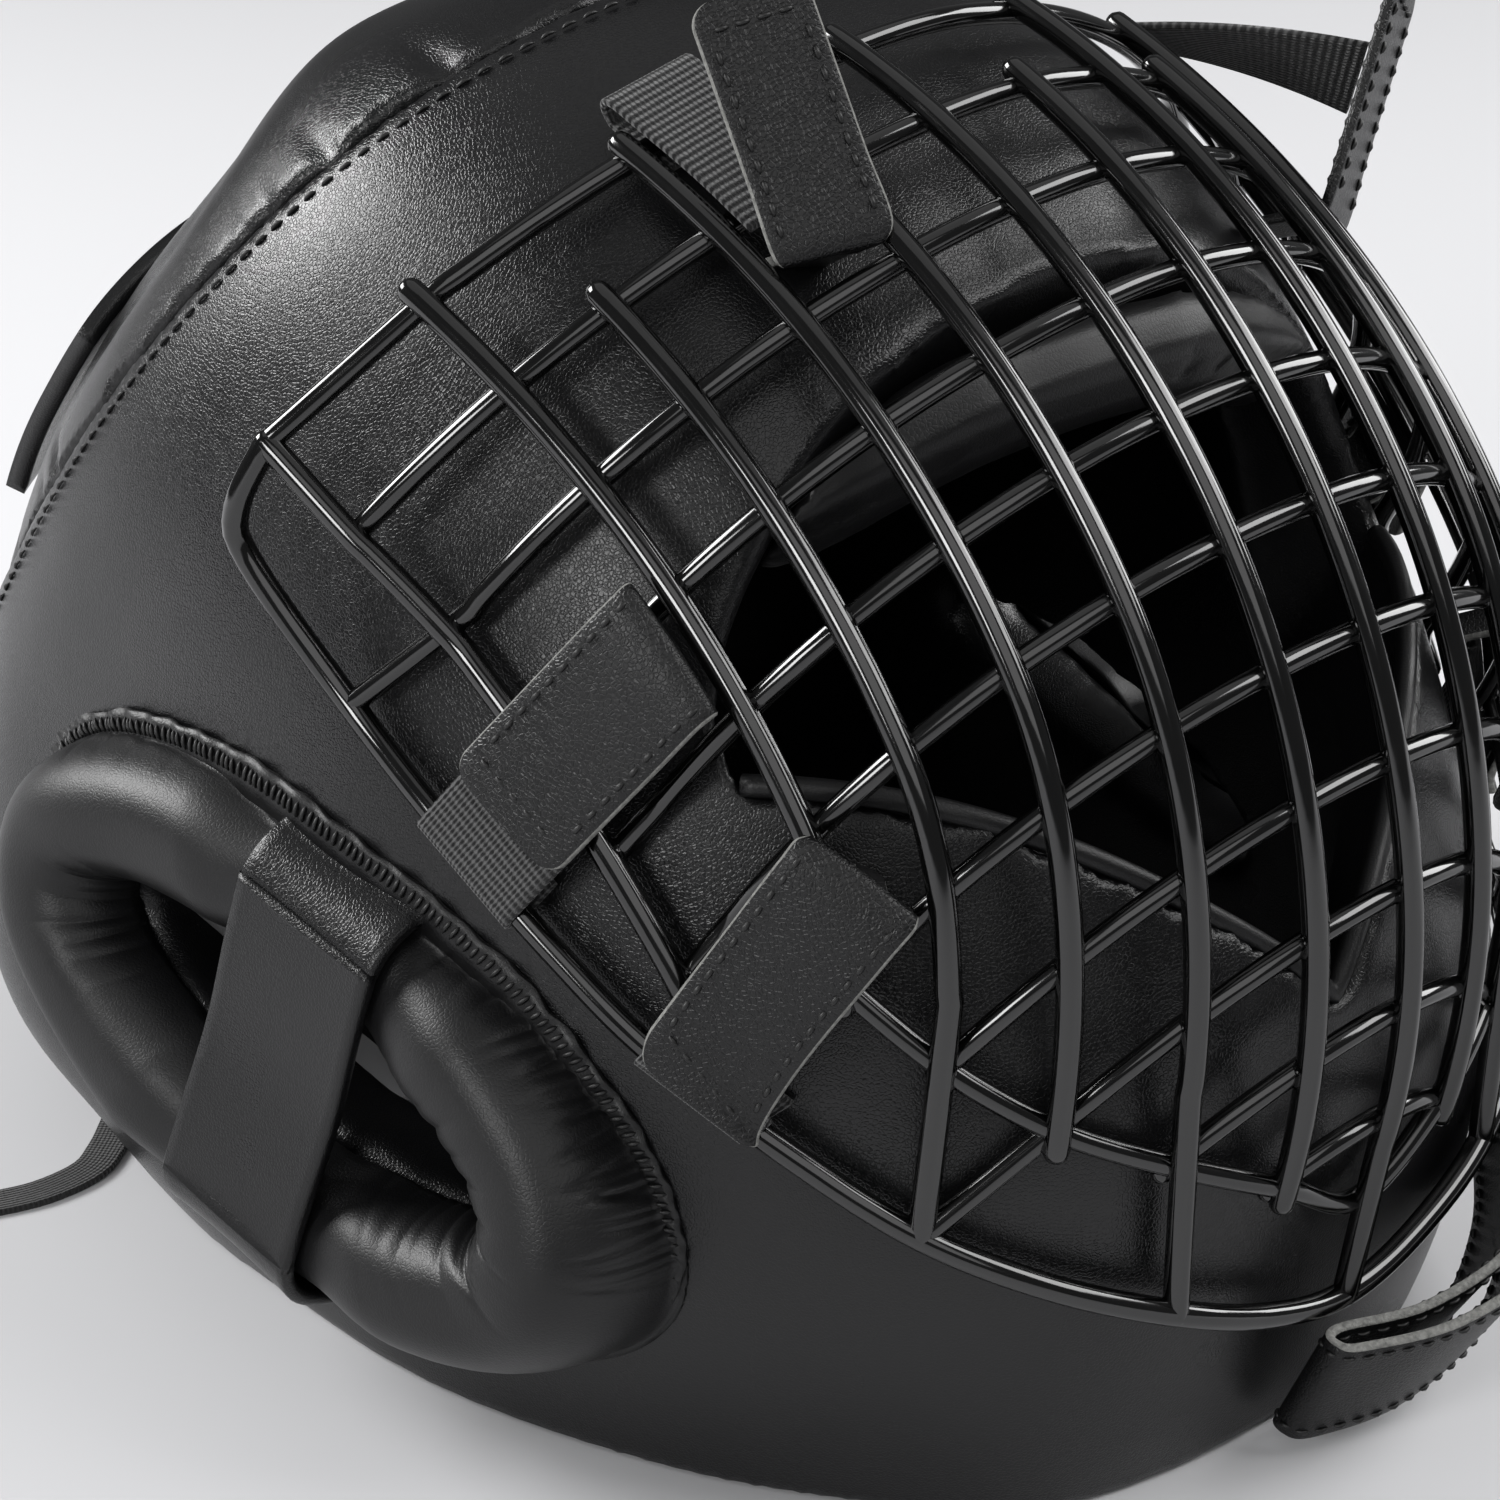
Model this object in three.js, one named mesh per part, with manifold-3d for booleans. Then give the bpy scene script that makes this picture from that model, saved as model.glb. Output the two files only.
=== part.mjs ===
// Padded sparring headgear with a welded wire grille over the face, lying on its neck rim.
// Lengths are millimetres. The pieces are drawn in the wearer's frame: +X is the wearer's left,
// +Y is the back of the head and +Z is up. At the end the whole is leaned back onto the floor.

import * as THREE from 'three';
import { mergeVertices } from 'three/addons/utils/BufferGeometryUtils.js';
import Module from 'manifold-3d';

const wasm = await Module();
wasm.setup();

// Driving sizes

const GAP = 0.3;              // clear space between neighbouring pieces
const PADDING = 18;           // thickness of the stuffed walls
const WIRE_RADIUS = 1.65;     // coated steel wire of the grille, to the corners of its six sides
const BAR_PITCH = 18;         // bars of the grille, measured along a rung
const RUNG_PITCH = 19.1;      // rungs, measured along the middle bar
const LEATHER = 1.6;          // strap leather
const TAPE = 1.2;             // ribbed tape under the straps
const LEAN = THREE.MathUtils.degToRad(55.8);
const LIFT = 105;             // height of the wearer's origin above the floor
const REST_SHIFT = -28.9;      // brings the middle of the resting part over the origin

// The wearer's frame laid down on the floor
const lay = new THREE.Matrix4()
  .makeTranslation(0, REST_SHIFT, LIFT)
  .multiply(new THREE.Matrix4().makeRotationX(-LEAN));
const unlay = lay.clone().invert();

// Outside of the padded shell: one egg-shaped ring per level, from under the chin to the crown
const LEVELS = [
  { up: -142, half: 6, front: 54, back: 70, widest: 62 },
  { up: -134, half: 28, front: 42, back: 84, widest: 60 },
  { up: -124, half: 48, front: 18, back: 100, widest: 58 },
  { up: -110, half: 62, front: -9, back: 112, widest: 60 },
  { up: -92, half: 76, front: -31, back: 126, widest: 68 },
  { up: -70, half: 87, front: -45, back: 142, widest: 76 },
  { up: -45, half: 95, front: -58, back: 154, widest: 80 },
  { up: -18, half: 99, front: -69, back: 163, widest: 80 },
  { up: 10, half: 101, front: -77, back: 167, widest: 78 },
  { up: 36, half: 99, front: -79, back: 166, widest: 74 },
  { up: 62, half: 97, front: -76, back: 164, widest: 72 },
  { up: 86, half: 93, front: -68, back: 160, widest: 70 },
  { up: 107, half: 83, front: -53, back: 150, widest: 67 },
  { up: 123, half: 66, front: -30, back: 132, widest: 65 },
  { up: 135, half: 46, front: 0, back: 112, widest: 63 },
  { up: 143, half: 25, front: 32, back: 90, widest: 62 },
  { up: 146, half: 7, front: 55, back: 69, widest: 62 },
];
const FRONT_POWER = 2.4;      // roundness of the ring's front half; 2 is an ellipse
const BACK_POWER = 2.2;
const BACK_FULL = { more: 1.4, up: 58, spread: 32 };   // the back is squarer round the height of the lace
const SHELL_AROUND = 44;
const SHELL_ROWS = 22;
const HEART = new THREE.Vector3(0, 42, 8);   // middle of the head, towards which the wall is stuffed

const black = (colour, roughness, metalness = 0) =>
  new THREE.MeshStandardMaterial({ color: colour, roughness, metalness });
const MATTE_LEATHER = black(0x2a2a2b, 0.62);
const SOFT_LEATHER = black(0x262627, 0.55);
const STRAP_LEATHER = black(0x232324, 0.42);
const COATED_STEEL = black(0x0d0d0e, 0.22);
const WOVEN_TAPE = black(0x1d1d1e, 0.85);

// Turning meshes into solids and back

const vec = (x, y, z) => new THREE.Vector3(x, y, z);

// Closed body from points and triangles, turned so that its faces look outwards
function geometryFrom(points, faces) {
  const volume = faces.reduce(
    (sum, [a, b, c]) => sum + points[a].dot(points[b].clone().cross(points[c])),
    0,
  );
  const outwards = volume > 0 ? faces : faces.map(([a, b, c]) => [a, c, b]);
  const geometry = new THREE.BufferGeometry();
  const flat = points.flatMap((p) => [p.x, p.y, p.z]);
  geometry.setAttribute('position', new THREE.Float32BufferAttribute(flat, 3));
  geometry.setIndex(outwards.flat());
  return geometry;
}

function solidFrom(geometry) {
  const bare = geometry.clone();
  bare.deleteAttribute('normal');
  bare.deleteAttribute('uv');
  const merged = mergeVertices(bare, 1e-4);
  const mesh = new wasm.Mesh({
    numProp: 3,
    vertProperties: new Float32Array(merged.attributes.position.array),
    triVerts: new Uint32Array(merged.index.array),
  });
  return new wasm.Manifold(mesh);
}

function geometryOf(solid) {
  const mesh = solid.getMesh();
  const geometry = new THREE.BufferGeometry();
  geometry.setAttribute('position', new THREE.Float32BufferAttribute(mesh.vertProperties, 3));
  geometry.setIndex(Array.from(mesh.triVerts));
  return geometry;
}

// Rows of points joined into a skin; each row is a closed loop and the two ends are closed by fans
function skin(rows) {
  const count = rows[0].length;
  const points = rows.flat();
  const faces = [];
  for (let r = 0; r + 1 < rows.length; r += 1) {
    for (let k = 0; k < count; k += 1) {
      const a = r * count + k;
      const b = r * count + ((k + 1) % count);
      faces.push([a, b, a + count], [b, b + count, a + count]);
    }
  }
  const last = (rows.length - 1) * count;
  for (let k = 1; k + 1 < count; k += 1) {
    faces.push([0, k + 1, k], [last, last + k, last + k + 1]);
  }
  return geometryFrom(points, faces);
}

// The padded shell

// Smooth value of one column of the level table at a place counted in rows
function levelAt(column, place) {
  const i = Math.min(LEVELS.length - 2, Math.max(0, Math.floor(place)));
  const t = place - i;
  const row = (k) => LEVELS[Math.min(LEVELS.length - 1, Math.max(0, k))][column];
  const slopeHere = (row(i + 1) - row(i - 1)) / 2;
  const slopeNext = (row(i + 2) - row(i)) / 2;
  const rise = row(i + 1) - row(i);
  return row(i) + slopeHere * t
    + (3 * rise - 2 * slopeHere - slopeNext) * t * t
    + (slopeHere + slopeNext - 2 * rise) * t * t * t;
}

// Place in the level table, in rows, at a height
function placeOf(up) {
  let low = 0;
  let high = LEVELS.length - 1;
  for (let k = 0; k < 40; k += 1) {
    const mid = (low + high) / 2;
    if (levelAt('up', mid) < up) low = mid;
    else high = mid;
  }
  return (low + high) / 2;
}

const signedPower = (v, power) => Math.sign(v) * Math.abs(v) ** power;

const backPower = (up) =>
  BACK_POWER + BACK_FULL.more * Math.exp(-(((up - BACK_FULL.up) / BACK_FULL.spread) ** 2));

// Point of the outside at a place in the table and an angle counted from the front to the left
function ringPoint(place, angle) {
  const widest = levelAt('widest', place);
  const c = Math.cos(angle);
  const power = c > 0 ? FRONT_POWER : backPower(levelAt('up', place));
  const reach = c > 0 ? widest - levelAt('front', place) : levelAt('back', place) - widest;
  return vec(
    levelAt('half', place) * signedPower(Math.sin(angle), 2 / power),
    widest - reach * signedPower(c, 2 / power),
    levelAt('up', place),
  );
}

// Height of a point above the shell's outside, measured along its normal; negative is inside
function ringExcess(p) {
  const place = placeOf(p.z);
  const widest = levelAt('widest', place);
  const ahead = p.y < widest;
  const power = ahead ? FRONT_POWER : backPower(p.z);
  const reach = ahead ? widest - levelAt('front', place) : levelAt('back', place) - widest;
  const sum = Math.abs(p.x / levelAt('half', place)) ** power
    + Math.abs((p.y - widest) / reach) ** power;
  return sum ** (1 / power) - 1;
}

function shellNormal(p) {
  const step = 0.5;
  const slope = (axis) => {
    const d = vec(0, 0, 0).setComponent(axis, step);
    return (ringExcess(p.clone().add(d)) - ringExcess(p.clone().sub(d))) / (2 * step);
  };
  return vec(slope(0), slope(1), slope(2));
}

function heightAboveShell(p) {
  return ringExcess(p) / shellNormal(p).length();
}

// The nearest place that stands a given height off the shell
function standOff(p, height) {
  const q = p.clone();
  for (let k = 0; k < 6; k += 1) {
    const normal = shellNormal(q);
    const error = height - ringExcess(q) / normal.length();
    q.addScaledVector(normal.normalize(), error);
  }
  return q;
}

// Closed body inside the shell's outside, drawn in towards the heart of the head
function shellBody(drawnIn) {
  const rows = [];
  for (let r = 0; r <= SHELL_ROWS; r += 1) {
    const place = (r / SHELL_ROWS) * (LEVELS.length - 1);
    const ring = [];
    for (let k = 0; k < SHELL_AROUND; k += 1) {
      const p = ringPoint(place, (k / SHELL_AROUND) * 2 * Math.PI);
      const out = p.clone().sub(HEART);
      ring.push(p.addScaledVector(out.normalize(), -drawnIn));
    }
    rows.push(ring);
  }
  return solidFrom(skin(rows));
}

// A large block with one face through a point, on the far side along a direction
function blockBeyond(point, direction) {
  const size = 800;
  const box = new THREE.BoxGeometry(size, size, size);
  const turn = new THREE.Quaternion().setFromUnitVectors(vec(0, 0, 1), direction.clone().normalize());
  box.translate(0, 0, size / 2);
  box.applyQuaternion(turn);
  box.translate(point.x, point.y, point.z);
  return solidFrom(box);
}

const floorPoint = vec(0, 0, 0).applyMatrix4(unlay);
const floorDown = vec(0, 0, -1).transformDirection(unlay);
const belowFloor = blockBeyond(floorPoint, floorDown);

// The crown is a panel of its own above a stitched seam that rises a little to the back
const SEAM_UP = 92;
const SEAM_RISE = 0.12;
const seamNormal = vec(0, -SEAM_RISE, 1).normalize();
const seamPoint = vec(0, 0, SEAM_UP);
const aboveSeam = blockBeyond(seamPoint, seamNormal);
const belowSeam = blockBeyond(seamPoint.clone().addScaledVector(seamNormal, GAP), seamNormal.clone().negate());

// Opening for the face, drawn in the X-Z plane and cut through the front wall: round at the brow, and
// drawn down to a point at the chin between two high cheeks
const FACE = { brow: 9, chin: -92, half: 70, middle: -28, browPower: 2.2, chinPower: 1.04, reach: 10 };

function faceHole(grow, back) {
  const shape = new THREE.Shape();
  const count = 36;
  for (let k = 0; k < count; k += 1) {
    const a = (k / count) * 2 * Math.PI;
    const s = Math.sin(a);
    const tall = s > 0 ? FACE.brow - FACE.middle : FACE.middle - FACE.chin;
    const power = s > 0 ? FACE.browPower : FACE.chinPower;
    const x = (FACE.half + grow) * signedPower(Math.cos(a), 2 / power);
    const z = FACE.middle + (tall + grow) * signedPower(s, 2 / power);
    if (k === 0) shape.moveTo(x, z);
    else shape.lineTo(x, z);
  }
  const depth = 200;
  const geometry = new THREE.ExtrudeGeometry(shape, { depth, bevelEnabled: false, curveSegments: 1 });
  geometry.rotateX(Math.PI / 2);
  geometry.translate(0, back, 0);
  return solidFrom(geometry);
}

// Ears: a stuffed oval ring on each side round a hole through the wall, with a strap across it
const EAR = {
  centre: vec(-95, 55.3, -5.4),
  turn: 0.2,                              // the wall's slope outwards to the back
  tilt: THREE.MathUtils.degToRad(21),     // of the oval's long axis, its top to the back
  halfTall: 58,
  halfLong: 24,
  width: 14,
  proud: 20,
  sunk: 4,                                // how far the stuffing's middle lies inside the wall
};
const EAR_HOLE = { halfTall: 43, halfLong: 10 };
const earOut = vec(-1, -EAR.turn, 0).normalize();
const earBack = vec(-EAR.turn, 1, 0).normalize().applyAxisAngle(earOut, EAR.tilt);
const earUp = vec(0, 0, 1).applyAxisAngle(earOut, EAR.tilt);

function earPoint(back, up, out) {
  return EAR.centre.clone()
    .addScaledVector(earBack, back)
    .addScaledVector(earUp, up)
    .addScaledVector(earOut, out);
}

function earHole() {
  const rows = [-40, 40].map((out) => {
    const ring = [];
    for (let k = 0; k < 20; k += 1) {
      const a = (k / 20) * 2 * Math.PI;
      ring.push(earPoint(-EAR_HOLE.halfLong * Math.cos(a), EAR_HOLE.halfTall * Math.sin(a), out));
    }
    return ring;
  });
  return solidFrom(skin(rows));
}

const mirrorX = new THREE.Matrix4().makeScale(-1, 1, 1);

function mirrored(geometry) {
  const other = geometry.clone().applyMatrix4(mirrorX);
  const index = Array.from(other.index.array);
  for (let k = 0; k < index.length; k += 3) {
    [index[k + 1], index[k + 2]] = [index[k + 2], index[k + 1]];
  }
  other.setIndex(index);
  return other;
}

const outside = shellBody(0);
const hollow = shellBody(PADDING);
const rightEarHole = earHole();
const leftEarHole = solidFrom(mirrored(geometryOf(rightEarHole)));

const shell = outside
  .subtract(hollow)
  .subtract(belowFloor)
  .subtract(aboveSeam)
  .subtract(faceHole(0, FACE.reach))
  .subtract(rightEarHole)
  .subtract(leftEarHole);

const CROWN_STEP = 1.5;       // the crown panel lies this much lower than the wall at the seam
const crown = shellBody(CROWN_STEP).subtract(hollow).subtract(belowSeam);

// Ear ring, as stuffed or with a little room round it, before it is cut to sit on the shell
function earRing(room) {
  const rows = [];
  const around = 28;
  const sides = 10;
  for (let k = 0; k < around; k += 1) {
    const a = (k / around) * 2 * Math.PI;
    const row = [];
    for (let j = 0; j < sides; j += 1) {
      const b = (j / sides) * 2 * Math.PI;
      const grow = (EAR.width + room) * Math.cos(b);
      row.push(earPoint(
        (EAR.halfLong + grow) * Math.cos(a),
        (EAR.halfTall + grow) * Math.sin(a),
        (EAR.proud + room) * Math.sin(b) - EAR.sunk,
      ));
    }
    rows.push(row);
  }
  const points = rows.flat();
  const faces = [];
  for (let k = 0; k < around; k += 1) {
    for (let j = 0; j < sides; j += 1) {
      const next = ((k + 1) % around) * sides;
      const a = k * sides + j;
      const b = k * sides + ((j + 1) % sides);
      const c = next + j;
      const d = next + ((j + 1) % sides);
      faces.push([a, b, c], [b, d, c]);
    }
  }
  return solidFrom(geometryFrom(points, faces));
}

const ring = earRing(0).subtract(shellBody(-GAP));

// Straps and tapes: a flat band between two rails, with square edges
function band(stations, thickness) {
  const rows = stations.map((here, k) => {
    const before = stations[Math.max(0, k - 1)];
    const after = stations[Math.min(stations.length - 1, k + 1)];
    const middle = (s) => s.a.clone().add(s.b).multiplyScalar(0.5);
    const along = middle(after).sub(middle(before)).normalize();
    const across = here.b.clone().sub(here.a).normalize();
    const up = across.clone().cross(along).normalize().multiplyScalar(thickness / 2);
    return [
      here.a.clone().add(up),
      here.b.clone().add(up),
      here.b.clone().sub(up),
      here.a.clone().sub(up),
    ];
  });
  return skin(rows);
}

// Strap over the ear ring, standing clear of the stuffing and turned down to the wall at both ends
const BRIDGE = { width: 30, thickness: 2, up: -4 };

function earBridge() {
  const top = EAR.proud + GAP + BRIDGE.thickness / 2;
  const side = EAR.halfLong + EAR.width + GAP + BRIDGE.thickness / 2;
  const profile = [];
  const turns = 7;
  for (let k = 0; k <= turns; k += 1) {
    const b = (k / turns) * 0.5 * Math.PI;
    profile.push([-EAR.halfLong - (side - EAR.halfLong) * Math.cos(b), top * Math.sin(b) - EAR.sunk]);
  }
  const path = [...profile, ...profile.slice().reverse().map(([back, out]) => [-back, out])];
  const stations = path.map(([back, out]) => ({
    a: earPoint(back, BRIDGE.up - BRIDGE.width / 2, out),
    b: earPoint(back, BRIDGE.up + BRIDGE.width / 2, out),
  }));
  return solidFrom(band(stations, BRIDGE.thickness)).subtract(shellBody(-GAP)).subtract(earRing(GAP));
}

const bridge = earBridge();

// The grille's law: the middle bar leans forward at the brow and curls under the chin,
// and each rung turns back from it towards the ears

const BAR = { up: 32.7, front: -91.6, firstSlope: -17.7, turn: 92.2, rungs: 11, power: 1.09 };
const RUNG = { turn: 51.1, moreTurn: 43.4, bulge: 39.4, power: 0.75, morePower: 0.74 };
const CHIN_FLARE = { from: 0.5, back: 782, down: 18 };
const HALF_BARS = 6;
const STEPS = 24;

function middleBar(rung) {
  const p = { y: BAR.front, z: BAR.up };
  const step = (rung - 1) / STEPS;
  for (let k = 0; k < STEPS; k += 1) {
    const along = Math.max(0, 1 + (k + 0.5) * step);
    const slope = THREE.MathUtils.degToRad(BAR.firstSlope + BAR.turn * (along / BAR.rungs) ** BAR.power);
    p.y += Math.sin(slope) * RUNG_PITCH * step;
    p.z -= Math.cos(slope) * RUNG_PITCH * step;
  }
  return p;
}

// Point of the grille at a bar counted from the middle and a rung counted from the top
function cage(bar, rung) {
  const t = rung / 10;
  const turn = THREE.MathUtils.degToRad(RUNG.turn + RUNG.moreTurn * t + RUNG.bulge * t * (1 - t));
  const power = RUNG.power + RUNG.morePower * t;
  const p = middleBar(rung);
  const step = Math.abs(bar) / STEPS;
  let x = 0;
  for (let k = 0; k < STEPS; k += 1) {
    const angle = turn * (((k + 0.5) * step) / HALF_BARS) ** power;
    x += Math.cos(angle) * BAR_PITCH * step;
    p.y += Math.sin(angle) * BAR_PITCH * step;
  }
  const low = Math.max(0, t - CHIN_FLARE.from) ** 2;
  const share = (bar / HALF_BARS) ** 2;
  return vec(Math.sign(bar) * x, p.y + CHIN_FLARE.back * low * share, p.z - CHIN_FLARE.down * low * share);
}

function cageNormal(bar, rung) {
  const d = 0.05;
  const alongBar = cage(bar, rung + d).sub(cage(bar, rung - d));
  const alongRung = cage(bar + d, rung).sub(cage(bar - d, rung));
  return alongBar.cross(alongRung).normalize();
}

// The rim of the grille: down the cheeks on the padding and under the chin
const RIM_STAND = 4.1;        // height of the rim wire above the leather
const RIM = [
  { side: 98.5, back: -25.6, up: 50.2 },
  { side: 102, back: -15.5, up: 47.5 },
  { side: 101, back: -9, up: 42 },
  { side: 94, back: -2, up: 18 },
  { side: 92, back: -2, up: -6 },
  { side: 90, back: -2, up: -30 },
  { side: 84, back: -1, up: -48 },
  { side: 74, back: -1, up: -70 },
  { side: 64, back: -1, up: -88 },
  { side: 50, back: 0, up: -101 },
  { side: 34, back: 2, up: -112 },
  { side: 17, back: 5, up: -121 },
  { side: 0, back: 7, up: -125 },
];
const clearOfShell = (p) => (heightAboveShell(p) < RIM_STAND ? standOff(p, RIM_STAND) : p);
const rimSide = RIM.map(({ side, back, up }) => clearOfShell(vec(-side, back, up)));
rimSide[rimSide.length - 1].x = 0;
const otherSide = (p) => vec(-p.x, p.y, p.z);
const rim = [...rimSide, ...rimSide.slice(0, -1).reverse().map(otherSide)];

// The net of wires. Every crossing is a knot with a place and an outward direction, and every
// stretch of wire joins two knots.
const SIDE_BAR = 6.76;        // the outermost bar, on the cheek
const knots = new Map();
const stretches = [];

function knot(name, place, outward) {
  if (!knots.has(name)) {
    knots.set(name, { place, outward, arms: [] });
  }
  return name;
}

function crossing(bar, rung) {
  const outward = cageNormal(bar, Math.min(rung, 10));
  return knot(`bar ${bar} rung ${rung}`, clearOfShell(cage(bar, rung)), outward);
}

function rimKnot(number, side) {
  const place = side < 0 ? rimSide[number] : otherSide(rimSide[number]);
  const last = rimSide.length - 1;
  const name = number === last ? 'rim middle' : `rim ${number} ${side}`;
  return knot(name, place, shellNormal(place).normalize());
}

function joinAll(names) {
  for (let k = 0; k + 1 < names.length; k += 1) {
    stretches.push([names[k], names[k + 1]]);
  }
}

// Bars from the middle outwards: odd ones hang from the top rung and stop on the chin wire, even
// ones hang from the second rung and run on to the rim at the numbered point
const BARS = [
  { bar: 0, first: 1, last: 10, rim: 12 },
  { bar: 1, first: 0, last: 10, rim: null },
  { bar: 2, first: 1, last: 9, rim: 10 },
  { bar: 3, first: 0, last: 8, rim: null },
  { bar: 4, first: 1, last: 7, rim: 8 },
  { bar: 5, first: 0, last: 6, rim: null },
  { bar: SIDE_BAR, first: 1, last: 5, rim: null },
];
// Rungs from the top: the outermost bar each one reaches, and the rim point it runs on to
const RUNGS = [
  { reach: 5, rim: 0 },
  { reach: SIDE_BAR, rim: null },
  { reach: SIDE_BAR, rim: 3 },
  { reach: SIDE_BAR, rim: null },
  { reach: SIDE_BAR, rim: null },
  { reach: SIDE_BAR, rim: null },
  { reach: 5, rim: null },
  { reach: 4, rim: null },
  { reach: 3, rim: 8 },
  { reach: 2, rim: null },
  { reach: 1, rim: null },
];
const CHIN_MIDDLE = 10.8;     // rung number at which the chin wire crosses the middle bar

for (const side of [-1, 1]) {
  for (const { bar, first, last, rim } of BARS) {
    if (bar === 0 && side > 0) {
      continue;
    }
    const names = [];
    for (let rung = first; rung <= last; rung += 1) {
      names.push(crossing(bar === 0 ? 0 : side * bar, rung));
    }
    if (bar === 0) {
      names.push(crossing(0, CHIN_MIDDLE));
    }
    if (bar === SIDE_BAR) {
      names.unshift(rimKnot(0, side));
    }
    if (rim !== null) {
      names.push(rimKnot(rim, side));
    }
    joinAll(names);
  }
  RUNGS.forEach(({ reach, rim }, rung) => {
    const names = [];
    for (let bar = 0; bar <= Math.floor(reach) && bar <= 5; bar += 1) {
      names.push(crossing(bar === 0 ? 0 : side * bar, rung));
    }
    if (reach === SIDE_BAR) {
      names.push(crossing(side * SIDE_BAR, rung));
    }
    if (rim !== null) {
      names.push(rimKnot(rim, side));
    }
    joinAll(names);
  });
  const chin = [5, 4, 3, 2, 1].map((bar) => crossing(side * bar, 11 - bar));
  joinAll([...chin, crossing(0, CHIN_MIDDLE)]);
  joinAll(rimSide.map((place, number) => rimKnot(number, side)));
}

// Six-sided wires between the knots. At each knot the stretches are put in order round it, and two
// neighbours share the pair of corners between them.
function wireNet() {
  for (const [from, to] of stretches) {
    knots.get(from).arms.push(to);
    knots.get(to).arms.push(from);
  }
  const points = [];
  const add = (p) => points.push(p) - 1;
  const corners = new Map();
  const flat = WIRE_RADIUS * Math.cos(Math.PI / 6);
  const tall = WIRE_RADIUS / 2;
  const longestCorner = 3 * flat;
  for (const [name, { place, outward, arms }] of knots) {
    const east = vec(1, 0, 0).addScaledVector(outward, -outward.x).normalize();
    const north = outward.clone().cross(east);
    const angleTo = (other) => {
      const d = knots.get(other).place.clone().sub(place);
      return Math.atan2(d.dot(north), d.dot(east));
    };
    const order = arms.map((other) => ({ other, angle: angleTo(other) }));
    order.sort((a, b) => a.angle - b.angle);
    const top = add(place.clone().addScaledVector(outward, WIRE_RADIUS));
    const bottom = add(place.clone().addScaledVector(outward, -WIRE_RADIUS));
    const ends = new Map(order.map(({ other }) => [other, { top, bottom }]));
    order.forEach(({ other, angle }, k) => {
      const next = order[(k + 1) % order.length];
      const turn = (next.angle - angle + 2 * Math.PI) % (2 * Math.PI);
      const middle = angle + turn / 2;
      const reach = Math.min(longestCorner, flat / Math.sin(turn / 2));
      const corner = place.clone()
        .addScaledVector(east, reach * Math.cos(middle))
        .addScaledVector(north, reach * Math.sin(middle));
      const high = add(corner.clone().addScaledVector(outward, tall));
      const low = add(corner.clone().addScaledVector(outward, -tall));
      Object.assign(ends.get(other), { leftHigh: high, leftLow: low });
      Object.assign(ends.get(next.other), { rightHigh: high, rightLow: low });
    });
    corners.set(name, ends);
  }
  const faces = [];
  const quad = (a, b, c, d) => faces.push([a, b, c], [a, c, d]);
  for (const [from, to] of stretches) {
    const a = corners.get(from).get(to);
    const b = corners.get(to).get(from);
    quad(a.top, b.top, b.rightHigh, a.leftHigh);
    quad(a.leftHigh, b.rightHigh, b.rightLow, a.leftLow);
    quad(a.leftLow, b.rightLow, b.bottom, a.bottom);
    quad(a.bottom, b.bottom, b.leftLow, a.rightLow);
    quad(a.rightLow, b.leftLow, b.leftHigh, a.rightHigh);
    quad(a.rightHigh, b.leftHigh, b.top, a.top);
  }
  return geometryFrom(points, faces);
}

const grille = wireNet();

// Places on and over the grille on the wearer's right. Beyond the last bar before the cheek they
// lead over to the rim, which counts as bar 7.
const HANDOVER = 5.6;
const AT_RIM = 7;

function rimAt(up) {
  const k = rimSide.findIndex((p, n) => n > 2 && p.z < up);
  const high = rimSide[k - 1];
  const low = rimSide[k];
  return high.clone().lerp(low, (high.z - up) / (high.z - low.z));
}

function overGrille(bar, rung, height) {
  const near = Math.min(bar, HANDOVER);
  const place = cage(-near, rung);
  const outward = cageNormal(-near, rung);
  if (bar > HANDOVER) {
    const share = (bar - HANDOVER) / (AT_RIM - HANDOVER);
    const end = rimAt(place.z);
    place.lerp(end, share);
    outward.lerp(shellNormal(end).normalize(), share).normalize();
  }
  return place.addScaledVector(outward, height);
}

// Straps of the grille: leather comes up through one opening of the net, folds above the wires
// and closes over a ribbed tape that is looped round the rim

const STRAP_LOW = LEATHER / 2 + 0.5;      // height of a strap that starts lying along the shell
const STRAP_FOOT = 0.45;                  // height of a strap's cut end that stands on the shell
const STRAP_HIGH = 6;                     // height of the closed flap above the wires
const TAPE_LOOP = WIRE_RADIUS + GAP + TAPE / 2;
const TAPE_RISE = TAPE_LOOP + 0.6;        // height at which a tape passes over a knot of the net
const TAPE_NEAR = 0.3;                    // how much closer the free tape comes to the rung it starts from

// The two edges of each strap as bar and rung numbers: where it comes through, folds and ends
const CLOSED_STRAPS = {
  middle: {
    neck: [{ bar: 6.05, rung: 3.2 }, { bar: 6.05, rung: 3.8 }],
    fold: [{ bar: 5.35, rung: 2.8 }, { bar: 5.3, rung: 3.93 }],
    end: [{ bar: 6.9, rung: 2.8 }, { bar: 6.85, rung: 3.93 }],
    tape: [{ bar: 6.35, rung: 2.85 }, { bar: 6.35, rung: 3.9 }],
  },
  lower: {
    neck: [{ bar: 4.8, rung: 5.45 }, { bar: 4.5, rung: 5.75 }],
    fold: [{ bar: 4.95, rung: 5.0 }, { bar: 4.2, rung: 6.0 }],
    end: [{ bar: 6.95, rung: 5.25 }, { bar: 6.75, rung: 6.45 }],
    tape: [{ bar: 6.3, rung: 5.3 }, { bar: 6.1, rung: 6.35 }],
  },
};

const between = (from, to, share) => ({
  bar: from.bar + (to.bar - from.bar) * share,
  rung: from.rung + (to.rung - from.rung) * share,
});

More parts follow.
